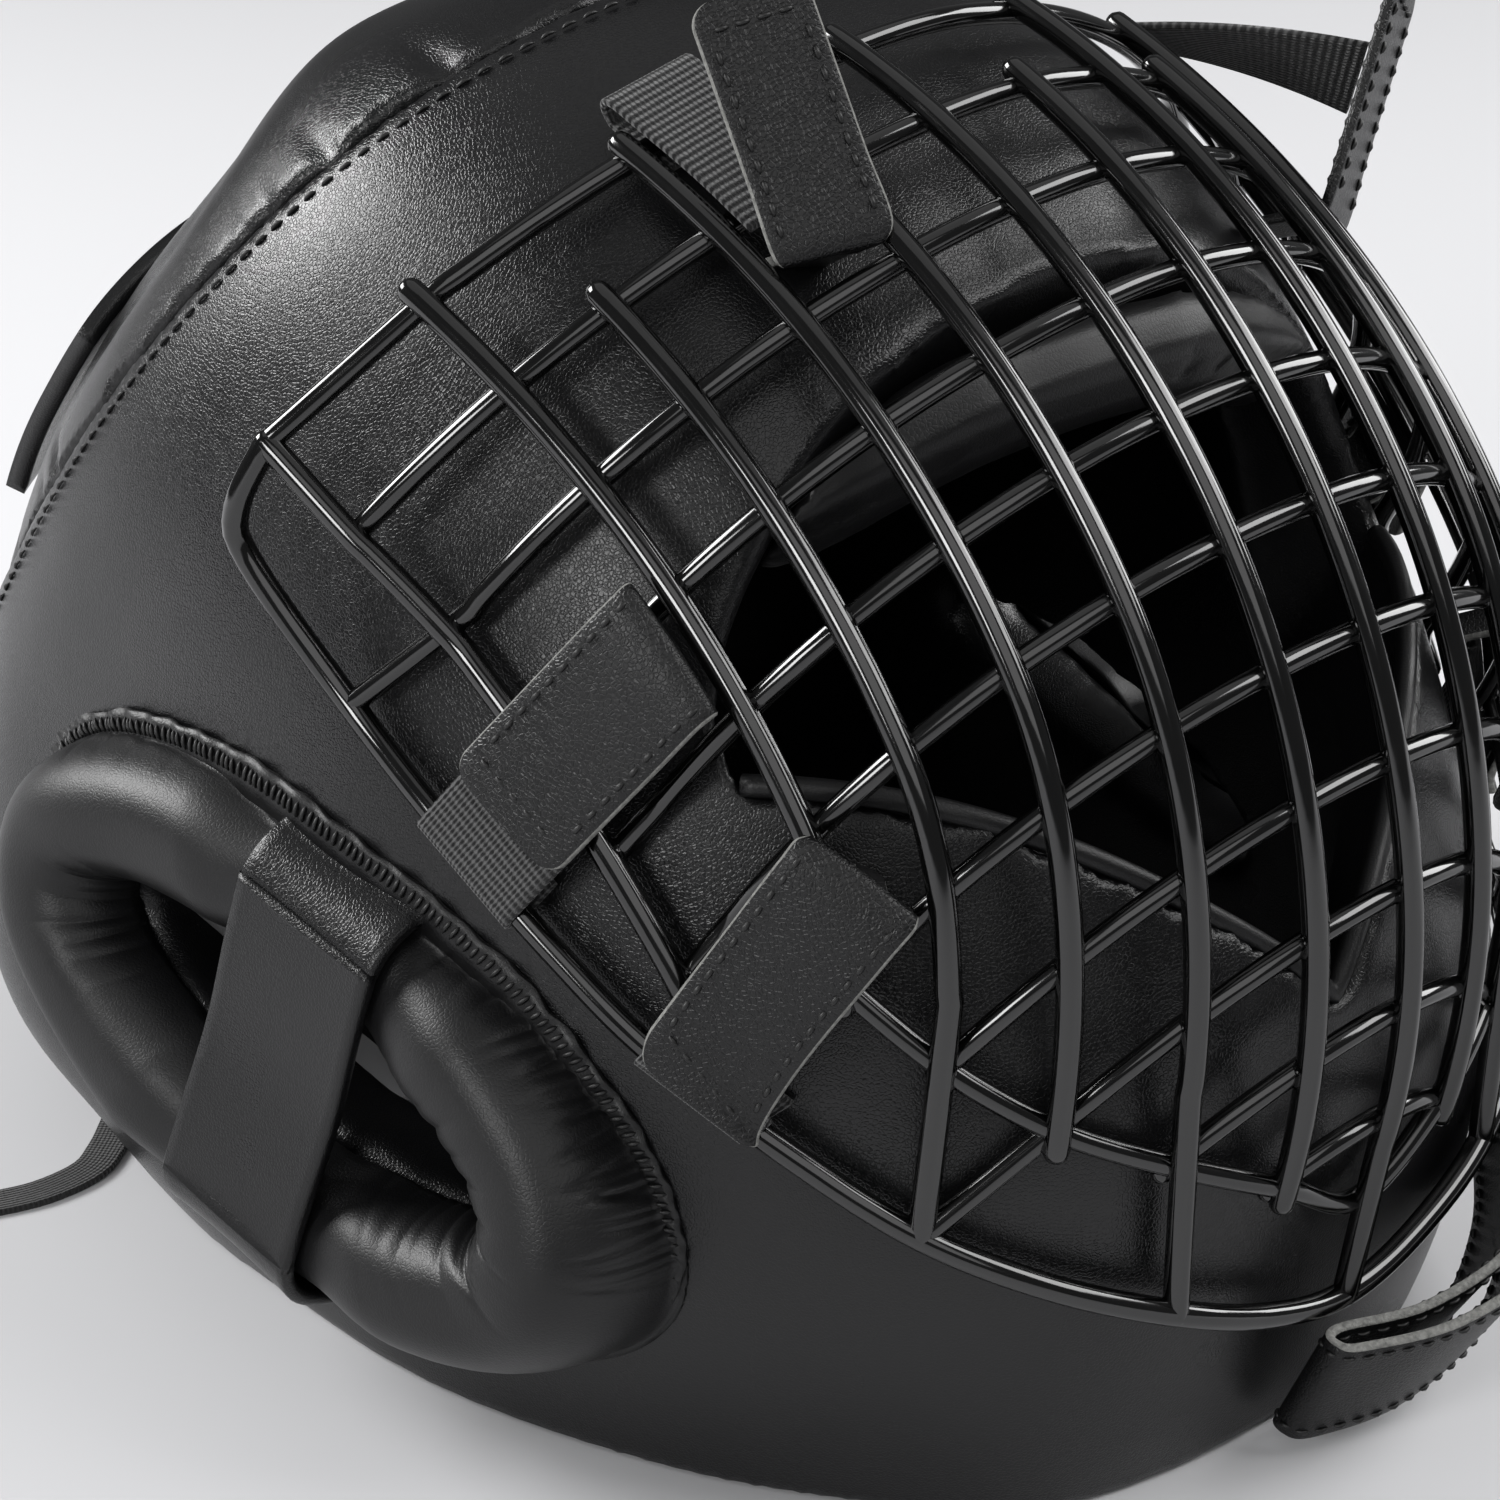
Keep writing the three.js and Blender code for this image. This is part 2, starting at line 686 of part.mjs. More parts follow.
function closedStrap({ neck, fold, end }) {
  const edge = (n) => {
    const over = ({ bar, rung }, height) => overGrille(bar, rung, height);
    const start = overGrille(neck[n].bar, neck[n].rung, 0);
    return [
      standOff(start, STRAP_LOW),
      over(neck[n], -1),
      over(between(neck[n], fold[n], 0.15), 2.6),
      over(between(neck[n], fold[n], 0.6), 3.2),
      over(fold[n], 4.5),
      over(between(fold[n], end[n], 0.1), STRAP_HIGH),
      over(between(fold[n], end[n], 0.4), STRAP_HIGH + 0.3),
      over(between(fold[n], end[n], 0.7), STRAP_HIGH + 0.2),
      over(end[n], STRAP_HIGH),
    ];
  };
  const left = edge(0);
  const right = edge(1);
  return band(left.map((a, k) => ({ a, b: right[k] })), LEATHER);
}

function rimTape({ tape }) {
  const edge = (n) => {
    const { bar, rung } = tape[n];
    const height = cage(-HANDOVER, rung).z;
    const centre = rimAt(height);
    const outward = shellNormal(centre).normalize();
    const inner = overGrille(bar, rung, 0);
    const away = centre.clone().sub(inner);
    away.addScaledVector(outward, -away.dot(outward)).normalize();
    const places = [overGrille(bar, rung, TAPE_RISE), overGrille((bar + AT_RIM) / 2, rung, TAPE_RISE)];
    const turns = 5;
    for (let k = 0; k <= turns; k += 1) {
      const a = (k / turns) * Math.PI;
      places.push(centre.clone()
        .addScaledVector(outward, TAPE_LOOP * Math.cos(a))
        .addScaledVector(away, TAPE_LOOP * Math.sin(a)));
    }
    const tail = centre.clone().addScaledVector(away, -6);
    places.push(standOff(tail, RIM_STAND - TAPE_LOOP));
    return places;
  };
  const left = edge(0);
  const right = edge(1);
  return band(left.map((a, k) => ({ a, b: right[k] })), TAPE);
}

// The top straps hang open. On the wearer's right the flap stands up over its tape, which is
// looped over the top rung; on the left the flap stands out from the net and the tape reaches over to it.
const TOP_RIGHT = { bars: [2.88, 2.0], neckBars: [2.75, 2.25], rungs: [1.5, 1.75], flap: vec(0, -15.7, 32.5) };
const TOP_LEFT = { bars: [3.9, 3.1], neckBars: [3.75, 3.25], rungs: [2.28, 2.28], flap: vec(19, -25, 22) };

function openStrap({ bars, neckBars, rungs, flap }, side) {
  const edge = (n) => {
    const over = (bar, rung, height) => {
      const p = cage(-bar, rung).addScaledVector(cageNormal(-bar, rung), height);
      return side < 0 ? p : otherSide(p);
    };
    const start = standOff(over(neckBars[n], rungs[n] - 0.25, 0), STRAP_FOOT);
    const fold = over(bars[n], rungs[n] + 0.08, 3.4);
    return [
      start,
      over(neckBars[n], rungs[n] - 0.05, -1.5),
      over(neckBars[n], rungs[n] + 0.05, 1.2),
      fold,
      fold.clone().addScaledVector(flap, 0.3),
      fold.clone().addScaledVector(flap, 0.65),
      fold.clone().add(flap),
    ];
  };
  const left = edge(side < 0 ? 0 : 1);
  const right = edge(side < 0 ? 1 : 0);
  return band(left.map((a, k) => ({ a, b: right[k] })), LEATHER);
}

function topTapeRight() {
  const edge = (bar) => {
    const over = (rung, height) => cage(-bar, rung).addScaledVector(cageNormal(-bar, rung), height);
    const loop = TAPE_LOOP + 0.2;
    return [
      over(1.25, loop),
      over(0.6, loop),
      over(-0.1, loop),
      over(-0.4, loop),
      over(-0.5, loop * 0.6),
      over(-0.53, 0),
      over(-0.5, -loop * 0.6),
      over(-0.4, -loop),
      over(0.2, -loop),
    ];
  };
  const left = edge(2.85);
  const right = edge(2.05);
  return band(left.map((a, k) => ({ a, b: right[k] })), TAPE);
}

function topTapeLeft() {
  const bow = vec(0.8, -1.7, 2.3);
  const edge = (bar, end) => {
    const start = cage(bar, 0).addScaledVector(cageNormal(bar, 0), TAPE_LOOP - TAPE_NEAR);
    return [0, 0.25, 0.5, 0.75, 1].map((share) =>
      start.clone().lerp(end, share).addScaledVector(bow, 4 * share * (1 - share)));
  };
  const left = edge(3.9, vec(75.5, -76.2, 22.5));
  const right = edge(3.1, vec(70.5, -91.2, 24.2));
  return band(left.map((a, k) => ({ a, b: right[k] })), TAPE);
}

// Chin strap: a doubled band sewn to the left jaw, with its fold lying in front of the chin.
// Its places are given as they lie: across, forward and above the floor.
const onFloor = (x, y, z) => vec(x, y + REST_SHIFT, z).applyMatrix4(unlay);
const CHIN_STRAP = [
  { across: -3, forward: -95, low: 4, lean: 9 },
  { across: 10, forward: -100, low: 6, lean: 11 },
  { across: 28, forward: -100, low: 10, lean: 13 },
  { across: 47, forward: -92, low: 15, lean: 13 },
  { across: 62, forward: -80, low: 19, lean: 12 },
  { across: 72, forward: -68, low: 22, lean: 10 },
];
const CHIN_STRAP_TALL = 21;
const CHIN_STRAP_LOOP = 3;

function chinStrap() {
  const layer = (row, away) => ({
    a: onFloor(row.across, row.forward - away, row.low),
    b: onFloor(row.across, row.forward - row.lean - away, row.low + CHIN_STRAP_TALL),
  });
  const outer = CHIN_STRAP.map((row) => layer(row, CHIN_STRAP_LOOP));
  const inner = CHIN_STRAP.map((row) => layer(row, -CHIN_STRAP_LOOP));
  const tip = layer({ ...CHIN_STRAP[0], across: CHIN_STRAP[0].across - CHIN_STRAP_LOOP }, 0);
  const seat = (s) => ({ a: standOff(s.a, STRAP_LOW), b: standOff(s.b, STRAP_LOW) });
  outer[outer.length - 1] = seat(outer[outer.length - 1]);
  inner.pop();
  return band([...outer.reverse(), tip, ...inner], LEATHER);
}

// Lace end of the back closure, lying on the floor
const LACE = { width: 7, thickness: 1.2 };
const LACE_WAY = [
  { across: -80.6, back: 110.8 },
  { across: -85, back: 106.5 },
  { across: -91, back: 101 },
  { across: -98, back: 96.5 },
  { across: -108, back: 96 },
  { across: -117.4, back: 99 },
];

function lace() {
  const stations = LACE_WAY.map(({ across, back }, k) => {
    const before = LACE_WAY[Math.max(0, k - 1)];
    const after = LACE_WAY[Math.min(LACE_WAY.length - 1, k + 1)];
    const along = new THREE.Vector2(after.across - before.across, after.back - before.back).normalize();
    const half = LACE.width / 2;
    return {
      a: onFloor(across - along.y * half, back + along.x * half, LACE.thickness / 2),
      b: onFloor(across + along.y * half, back - along.x * half, LACE.thickness / 2),
    };
  });
  return band(stations, LACE.thickness);
}

// Crown strap: a stiff strap over the top of the head that draws the crown panel together. It lies on
// the crown along its front edge and lifts off a little to the back.
const CROWN_STRAP = {
  front: 44,
  back: 90,
  half: 64,
  thickness: 3.6,
  clear: 0.4,
  lift: THREE.MathUtils.degToRad(7),
};

function crownStrap() {
  const { front, back, half, thickness, clear, lift } = CROWN_STRAP;
  const cut = new THREE.BoxGeometry(2 * half, back - front, 2 * SEAM_UP);
  cut.translate(0, (front + back) / 2, 2 * SEAM_UP);
  const under = CROWN_STEP - clear;
  const layer = shellBody(under - thickness).subtract(shellBody(under)).intersect(solidFrom(cut));
  const top = LEVELS[LEVELS.length - 1].up;
  return geometryOf(layer)
    .translate(0, -front, -top)
    .rotateX(lift)
    .translate(0, front, top);
}

// Brow pad: a stuffed roll along the upper edge of the face opening
const BROW = { up: 0, tall: 8, deep: 9, inset: 11, reach: 0.62, stations: 14, sides: 10 };

function browPad() {
  const rows = [];
  const place = placeOf(BROW.up);
  for (let k = 0; k <= BROW.stations; k += 1) {
    const share = (k / BROW.stations) * 2 - 1;
    const angle = BROW.reach * share;
    const on = ringPoint(place, angle);
    const outward = shellNormal(on).setZ(0).normalize();
    const centre = on.addScaledVector(outward, -BROW.inset);
    const taper = Math.sqrt(1 - 0.85 * share ** 6);
    const row = [];
    for (let j = 0; j < BROW.sides; j += 1) {
      const a = (j / BROW.sides) * 2 * Math.PI;
      row.push(centre.clone()
        .addScaledVector(outward, BROW.deep * taper * Math.cos(a))
        .add(vec(0, 0, BROW.tall * taper * Math.sin(a))));
    }
    rows.push(row);
  }
  return solidFrom(skin(rows)).subtract(shellBody(0).subtract(faceHole(-GAP, FACE.reach)));
}

// The finished pieces, laid down together

const headgear = new THREE.Group();
headgear.name = 'headgear';

function addPiece(name, geometry, material) {
  const mesh = new THREE.Mesh(geometry.clone().applyMatrix4(lay), material);
  mesh.name = name;
  headgear.add(mesh);
}

addPiece('shell', geometryOf(shell), MATTE_LEATHER);
addPiece('crown_panel', geometryOf(crown), MATTE_LEATHER);
addPiece('crown_strap', crownStrap(), MATTE_LEATHER);
addPiece('ear_ring_right', geometryOf(ring), SOFT_LEATHER);
addPiece('ear_ring_left', mirrored(geometryOf(ring)), SOFT_LEATHER);
addPiece('ear_bridge_right', geometryOf(bridge), MATTE_LEATHER);
addPiece('ear_bridge_left', mirrored(geometryOf(bridge)), MATTE_LEATHER);
addPiece('brow_pad', geometryOf(browPad()), SOFT_LEATHER);
addPiece('grille', grille, COATED_STEEL);
for (const [name, row] of Object.entries(CLOSED_STRAPS)) {
  const strap = closedStrap(row);
  const tape = rimTape(row);
  addPiece(`grille_strap_${name}_right`, strap, STRAP_LEATHER);
  addPiece(`grille_strap_${name}_left`, mirrored(strap), STRAP_LEATHER);
  addPiece(`strap_tape_${name}_right`, tape, WOVEN_TAPE);
  addPiece(`strap_tape_${name}_left`, mirrored(tape), WOVEN_TAPE);
}
addPiece('grille_strap_top_right', openStrap(TOP_RIGHT, -1), STRAP_LEATHER);
addPiece('grille_strap_top_left', openStrap(TOP_LEFT, 1), STRAP_LEATHER);
addPiece('strap_tape_top_right', topTapeRight(), WOVEN_TAPE);
addPiece('strap_tape_top_left', topTapeLeft(), WOVEN_TAPE);
addPiece('chin_strap', chinStrap(), STRAP_LEATHER);
addPiece('back_lace', lace(), WOVEN_TAPE);

export default headgear;
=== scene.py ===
# %% [markdown]
# # Boxing headgear with a wire grille
#
# A padded leather head guard lies on its neck rim. A welded net of black coated wire covers the face,
# leather straps with hook-and-loop tape hold the net, and stuffed rings protect the ears. The packed
# solids give every place and size; this lesson dresses them. Everything is drawn in millimetres in the
# wearer's frame (+X the wearer's left, +Y the back of the head, +Z up) and laid on the floor at the end.

import bmesh
import bpy
import numpy as np
from mathutils import Matrix, Vector


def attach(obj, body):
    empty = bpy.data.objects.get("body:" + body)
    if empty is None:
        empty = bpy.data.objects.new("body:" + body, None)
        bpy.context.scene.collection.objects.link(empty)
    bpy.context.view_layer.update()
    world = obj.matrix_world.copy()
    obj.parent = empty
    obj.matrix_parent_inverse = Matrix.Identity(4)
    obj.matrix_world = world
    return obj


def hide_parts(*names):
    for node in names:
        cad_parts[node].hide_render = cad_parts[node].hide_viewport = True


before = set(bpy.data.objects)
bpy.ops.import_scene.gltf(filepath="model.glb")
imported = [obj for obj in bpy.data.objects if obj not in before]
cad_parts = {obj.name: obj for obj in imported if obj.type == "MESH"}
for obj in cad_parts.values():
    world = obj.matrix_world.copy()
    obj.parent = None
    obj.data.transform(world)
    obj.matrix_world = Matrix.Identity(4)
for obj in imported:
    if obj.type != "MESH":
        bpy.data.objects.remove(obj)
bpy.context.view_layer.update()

print("solids in the frame:", len(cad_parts))

# %% [markdown]
# ## The wearer's frame
#
# The headgear is easiest to describe upright, as it sits on a head, but it lies on its neck rim. One turn
# about X and one lift carry every upright point to the floor, and the same turn read backwards tells
# which upright place a resting point has.

# %% Upright and laid down
LEAN = np.radians(55.8)
LIFT = 105.0
REST_SHIFT = -28.9
GAP = 0.3
TURN = np.array([
    [1, 0, 0],
    [0, np.cos(LEAN), np.sin(LEAN)],
    [0, -np.sin(LEAN), np.cos(LEAN)],
])
PLACE = np.array([0, REST_SHIFT, LIFT])


def laid(points):
    """Upright millimetres to resting metres: turn, lift, scale."""
    return (np.asarray(points, float) @ TURN.T + PLACE) / 1000


def upright(points):
    """Resting metres back to upright millimetres."""
    return (np.asarray(points, float) * 1000 - PLACE) @ TURN


def on_floor(across, forward, up):
    """Upright place of a point given as it lies, in millimetres."""
    resting = np.stack(np.broadcast_arrays(across, np.add(forward, REST_SHIFT), up), -1)
    return upright(resting / 1000)


print("leaning back by %.1f degrees" % np.degrees(LEAN))

# %% [markdown]
# ## The shape of the head guard
#
# The outside is a stack of egg-shaped rings. A short table gives each ring's height, half width, front,
# back and widest place, and a smooth curve runs through the table. From this law follow the height of any
# point above the leather and the nearest place at a wanted height, which is how trim, wires and straps
# find their seat.

# %% The ring table
RINGS = np.array([
    # up, half, front, back, widest
    (-142, 6, 54, 70, 62),
    (-134, 28, 42, 84, 60),
    (-124, 48, 18, 100, 58),
    (-110, 62, -9, 112, 60),
    (-92, 76, -31, 126, 68),
    (-70, 87, -45, 142, 76),
    (-45, 95, -58, 154, 80),
    (-18, 99, -69, 163, 80),
    (10, 101, -77, 167, 78),
    (36, 99, -79, 166, 74),
    (62, 97, -76, 164, 72),
    (86, 93, -68, 160, 70),
    (107, 83, -53, 150, 67),
    (123, 66, -30, 132, 65),
    (135, 46, 0, 112, 63),
    (143, 25, 32, 90, 62),
    (146, 7, 55, 69, 62),
], float)
FRONT_POWER = 2.4
BACK_POWER = 2.2
BACK_FULL = {"more": 1.4, "up": 58.0, "spread": 32.0}


def smooth_rows(table, place):
    """Catmull-Rom curve through the rows of a table at places counted in rows."""
    table = np.asarray(table, float)
    place = np.asarray(place, float)
    i = np.clip(np.floor(place).astype(int), 0, len(table) - 2)
    t = (place - i)[..., None]
    row = lambda k: table[np.clip(k, 0, len(table) - 1)]
    here = (row(i + 1) - row(i - 1)) / 2
    ahead = (row(i + 2) - row(i)) / 2
    rise = row(i + 1) - row(i)
    return row(i) + here * t + (3 * rise - 2 * here - ahead) * t**2 + (here + ahead - 2 * rise) * t**3


FINE_PLACES = np.linspace(0, len(RINGS) - 1, 3000)
FINE_RINGS = smooth_rows(RINGS, FINE_PLACES)


def ring_at(up):
    """Half width, front, back and widest place of the ring at a height."""
    return [np.interp(up, FINE_RINGS[:, 0], FINE_RINGS[:, k]) for k in (1, 2, 3, 4)]


def back_power(up):
    """Squareness of the back half of a ring: rounder above and below the height of the lace."""
    return BACK_POWER + BACK_FULL["more"] * np.exp(-(((up - BACK_FULL["up"]) / BACK_FULL["spread"]) ** 2))


def ring_excess(p):
    """Share by which a point lies outside its ring: rounded radius less one."""
    half, front, back, widest = ring_at(p[..., 2])
    ahead = p[..., 1] < widest
    power = np.where(ahead, FRONT_POWER, back_power(p[..., 2]))
    reach = np.where(ahead, widest - front, back - widest)
    total = np.abs(p[..., 0] / half) ** power + np.abs((p[..., 1] - widest) / reach) ** power
    return total ** (1 / power) - 1


def leather_slope(p, step=0.5):
    """Slope of the excess, which points straight out of the leather."""
    shifts = np.eye(3) * step
    return np.stack([(ring_excess(p + d) - ring_excess(p - d)) / (2 * step) for d in shifts], -1)


def leather_normal(p):
    """Unit direction out of the leather: the slope divided by its length."""
    slope = leather_slope(np.asarray(p, float))
    return slope / np.linalg.norm(slope, axis=-1, keepdims=True)


def leather_height(p):
    """Height of points above the outside of the shell, in millimetres."""
    p = np.asarray(p, float)
    return ring_excess(p) / np.linalg.norm(leather_slope(p), axis=-1)


def stand_off(p, height):
    """Nearest places that stand a given height above the leather."""
    q = np.array(p, float)
    for _ in range(6):
        slope = leather_slope(q)
        size = np.linalg.norm(slope, axis=-1, keepdims=True)
        error = np.expand_dims(np.asarray(height) - ring_excess(q) / size[..., 0], -1)
        q = q + slope / size * error
    return q


print("widest ring:", RINGS[:, 1].max() * 2, "mm across")

# %% [markdown]
# ## Meshes from whole arrays
#
# A grid of points becomes a mesh in one step: rows and columns may each be closed into a loop, and open
# ends of a closed profile get a cap. The grid also gives the mesh a map in millimetres, so that a weave or a
# row of threads keeps its real size along a strap.

# %% Mesh helpers
def unit(v):
    """Vectors divided by their lengths."""
    return v / np.linalg.norm(v, axis=-1, keepdims=True)


def smoothstep(low, high, value):
    """Share from 0 to 1 that starts and stops gently: three squares less two cubes."""
    t = np.clip((value - low) / (high - low), 0, 1)
    return t * t * (3 - 2 * t)


def grid_faces(rows, columns, close_rows, close_columns, start=0):
    """Quads of a grid of points, as an array of four corners each."""
    r = np.arange(rows if close_rows else rows - 1)
    c = np.arange(columns if close_columns else columns - 1)
    r, c = np.meshgrid(r, c, indexing="ij")
    r_next = (r + 1) % rows
    c_next = (c + 1) % columns
    here, ahead = r * columns, r_next * columns
    corners = np.stack([here + c, here + c_next, ahead + c_next, ahead + c], -1)
    return corners.reshape(-1, 4) + start


def new_piece(name, points, faces, finishes, looks=None, flat_map=None):
    """Mesh piece from upright points, laid down, with its finishes, its map and faces that look out."""
    mesh = bpy.data.meshes.new(name)
    mesh.from_pydata(laid(points).tolist(), [], [tuple(f) for f in faces])
    for finish in finishes:
        mesh.materials.append(finish)
    if looks is not None:
        mesh.polygons.foreach_set("material_index", np.asarray(looks, np.int32))
    mesh.polygons.foreach_set("use_smooth", np.ones(len(mesh.polygons), bool))
    if flat_map is not None:
        corner = np.zeros(len(mesh.loops), np.int32)
        mesh.loops.foreach_get("vertex_index", corner)
        layer = mesh.uv_layers.new(name="millimetres")
        layer.data.foreach_set("uv", np.asarray(flat_map, np.float32)[corner].ravel())
    mesh.update()
    piece = bpy.data.objects.new(name, mesh)
    bpy.context.scene.collection.objects.link(piece)
    turn_outwards(mesh)
    return piece


def turn_outwards(mesh):
    """Recalculate the face directions of one closed mesh so that they look out."""
    shape = bmesh.new()
    shape.from_mesh(mesh)
    bmesh.ops.recalc_face_normals(shape, faces=shape.faces)
    shape.to_mesh(mesh)
    shape.free()


def enlist(piece, slot, *nodes):
    """Tie a piece to the body and let it stand for solids of the frame; the slot argument is not used."""
    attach(piece, "root")
    if nodes:
        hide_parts(*nodes)
    return piece


def lengths_along(points):
    """Distance from the start to each point of a path."""
    steps = np.linalg.norm(np.diff(points, axis=0), axis=-1)
    return np.concatenate([[0], np.cumsum(steps)])


def evenly(points, pitch):
    """Points at an even pitch on a Catmull-Rom curve through the given ones."""
    points = np.asarray(points, float)
    fine = smooth_rows(points, np.linspace(0, len(points) - 1, 24 * len(points)))
    along = lengths_along(fine)
    count = max(2, int(round(along[-1] / pitch)) + 1)
    wanted = np.linspace(0, along[-1], count)
    return np.stack([np.interp(wanted, along, fine[:, k]) for k in range(points.shape[1])], -1)


def mirrored(points):
    """The same points on the other side of the head."""
    return np.asarray(points) * np.array([-1, 1, 1])


# %% [markdown]
# ## Finishes
#
# Everything is black, so the eye tells the materials apart by gloss and grain alone: satin grained leather on
# the shell, dull soft leather on the rings, pebbled polished leather on the straps, wet-looking dip
# coating on the wires and dull ribbed tape. Each finish is a short node tree on the pieces' own coordinates.

# %% Colours and nodes
def linear(hex_colour):
    """sRGB hex to the linear colour that shaders use."""
    value = np.array([int(hex_colour[k:k + 2], 16) for k in (1, 3, 5)]) / 255
    rgb = np.where(value <= 0.04045, value / 12.92, ((value + 0.055) / 1.055) ** 2.4)
    return (*rgb, 1.0)


def add_node(tree, kind, links=None, **settings):
    """Add one node, set its properties and sockets, and link its inputs."""
    node = tree.nodes.new(kind)
    for key, value in settings.items():
        if hasattr(node, key):
            setattr(node, key, value)
        else:
            node.inputs[key.replace("_", " ")].default_value = value
    for key, source in (links or {}).items():
        tree.links.new(source, node.inputs[key])
    return node


def new_finish(name, colour, roughness, **settings):
    """A material with its shader, and the tree to hang patterns on."""
    finish = bpy.data.materials.new(name)
    finish.use_nodes = True
    tree = finish.node_tree
    shader = tree.nodes["Principled BSDF"]
    shader.inputs["Base Color"].default_value = linear(colour)
    shader.inputs["Roughness"].default_value = roughness
    for key, value in settings.items():
        shader.inputs[key.replace("_", " ")].default_value = value
    return finish, tree, shader


def per_metre(millimetres):
    """Texture scale on Object coordinates for a pattern of a real size."""
    return 1000 / millimetres


# %% Grained leather
def grained_leather(name, colour, worn, roughness, grain_mm, depth_mm, crease_mm=None):
    """Leather: pebbles between fine valleys, a slow change of polish, and fine creases where asked for."""
    finish, tree, shader = new_finish(name, colour, roughness, IOR=1.42)
    where = add_node(tree, "ShaderNodeTexCoord").outputs["Object"]
    cells = add_node(tree, "ShaderNodeTexVoronoi", {"Vector": where}, feature="DISTANCE_TO_EDGE",
                     Scale=per_metre(grain_mm))
    pebbles = add_node(tree, "ShaderNodeMapRange", {"Value": cells.outputs["Distance"]}, From_Max=0.22,
                       interpolation_type="SMOOTHSTEP")
    fine = add_node(tree, "ShaderNodeTexNoise", {"Vector": where}, Scale=per_metre(grain_mm * 1.6),
                    Detail=4.0, Roughness=0.6)
    relief = add_node(tree, "ShaderNodeMath", {0: fine.outputs["Fac"], 1: pebbles.outputs["Result"]},
                      operation="ADD").outputs[0]
    if crease_mm:
        folds = add_node(tree, "ShaderNodeTexNoise", {"Vector": where}, noise_type="RIDGED_MULTIFRACTAL",
                         Scale=per_metre(crease_mm), Detail=2.0)
        relief = add_node(tree, "ShaderNodeMath", {0: folds.outputs["Fac"], 2: relief},
                          operation="MULTIPLY_ADD").outputs[0]
        relief.node.inputs[1].default_value = -0.35
    bump = add_node(tree, "ShaderNodeBump", {"Height": relief}, Strength=0.55, Distance=depth_mm / 1000)
    slow = add_node(tree, "ShaderNodeTexNoise", {"Vector": where}, Scale=per_metre(38), Detail=3.0)
    polish = add_node(tree, "ShaderNodeMapRange", {"Value": slow.outputs["Fac"]}, From_Min=0.3, From_Max=0.7,
                      To_Min=roughness - 0.05, To_Max=roughness + 0.07)
    tint = add_node(tree, "ShaderNodeMix", {"Factor": fine.outputs["Fac"]}, data_type="RGBA")
    tint.inputs["A"].default_value = linear(colour)
    tint.inputs["B"].default_value = linear(worn)
    tree.links.new(tint.outputs["Result"], shader.inputs["Base Color"])
    tree.links.new(polish.outputs["Result"], shader.inputs["Roughness"])
    tree.links.new(bump.outputs["Normal"], shader.inputs["Normal"])
    return finish


# Satin finished cow hide: an even fine grain that spreads the highlights
SHELL_LEATHER = grained_leather("satin_black_leather", "#0c0c0d", "#111112", 0.28, 0.6, 0.05)
# Softer hide of the stuffed rolls: smooth and dull, so that the gathers show by their shading
SOFT_LEATHER = grained_leather("soft_black_leather", "#0a0a0b", "#0f0f10", 0.42, 0.7, 0.03)
# Strap hide: deeper pebbles and fine creases under a polish, so that each one catches the light
STRAP_LEATHER = grained_leather("pebbled_strap_leather", "#060607", "#0a0a0b", 0.38, 0.7, 0.10,
                                crease_mm=2.4)


# %% Raw edge, wire coating, threads and tapes
def raw_edge():
    """Cut edge of a strap: pale split fibres with a rough fuzz."""
    finish, tree, shader = new_finish("raw_cut_leather_edge", "#3a3a3a", 0.9)
    where = add_node(tree, "ShaderNodeTexCoord").outputs["Object"]
    fuzz = add_node(tree, "ShaderNodeTexNoise", {"Vector": where}, Scale=per_metre(0.8), Detail=4.0)
    tint = add_node(tree, "ShaderNodeMix", {"Factor": fuzz.outputs["Fac"]}, data_type="RGBA")
    tint.inputs["A"].default_value = linear("#2a2a2a")
    tint.inputs["B"].default_value = linear("#9a9a96")
    bump = add_node(tree, "ShaderNodeBump", {"Height": fuzz.outputs["Fac"]}, Strength=0.8, Distance=0.0004)
    tree.links.new(tint.outputs["Result"], shader.inputs["Base Color"])
    tree.links.new(bump.outputs["Normal"], shader.inputs["Normal"])
    return finish


def dip_coating():
    """Steel wire dipped in black vinyl: a smooth glossy skin with slow runs."""
    finish, tree, shader = new_finish("black_dip_coated_steel", "#050505", 0.12, IOR=1.65)
    where = add_node(tree, "ShaderNodeTexCoord").outputs["Object"]
    runs = add_node(tree, "ShaderNodeTexNoise", {"Vector": where}, Scale=per_metre(7), Detail=1.5)
    bump = add_node(tree, "ShaderNodeBump", {"Height": runs.outputs["Fac"]}, Strength=0.12, Distance=0.0005)
    polish = add_node(tree, "ShaderNodeMapRange", {"Value": runs.outputs["Fac"]}, From_Min=0.3, From_Max=0.7,
                      To_Min=0.08, To_Max=0.14)
    tree.links.new(polish.outputs["Result"], shader.inputs["Roughness"])
    tree.links.new(bump.outputs["Normal"], shader.inputs["Normal"])
    return finish


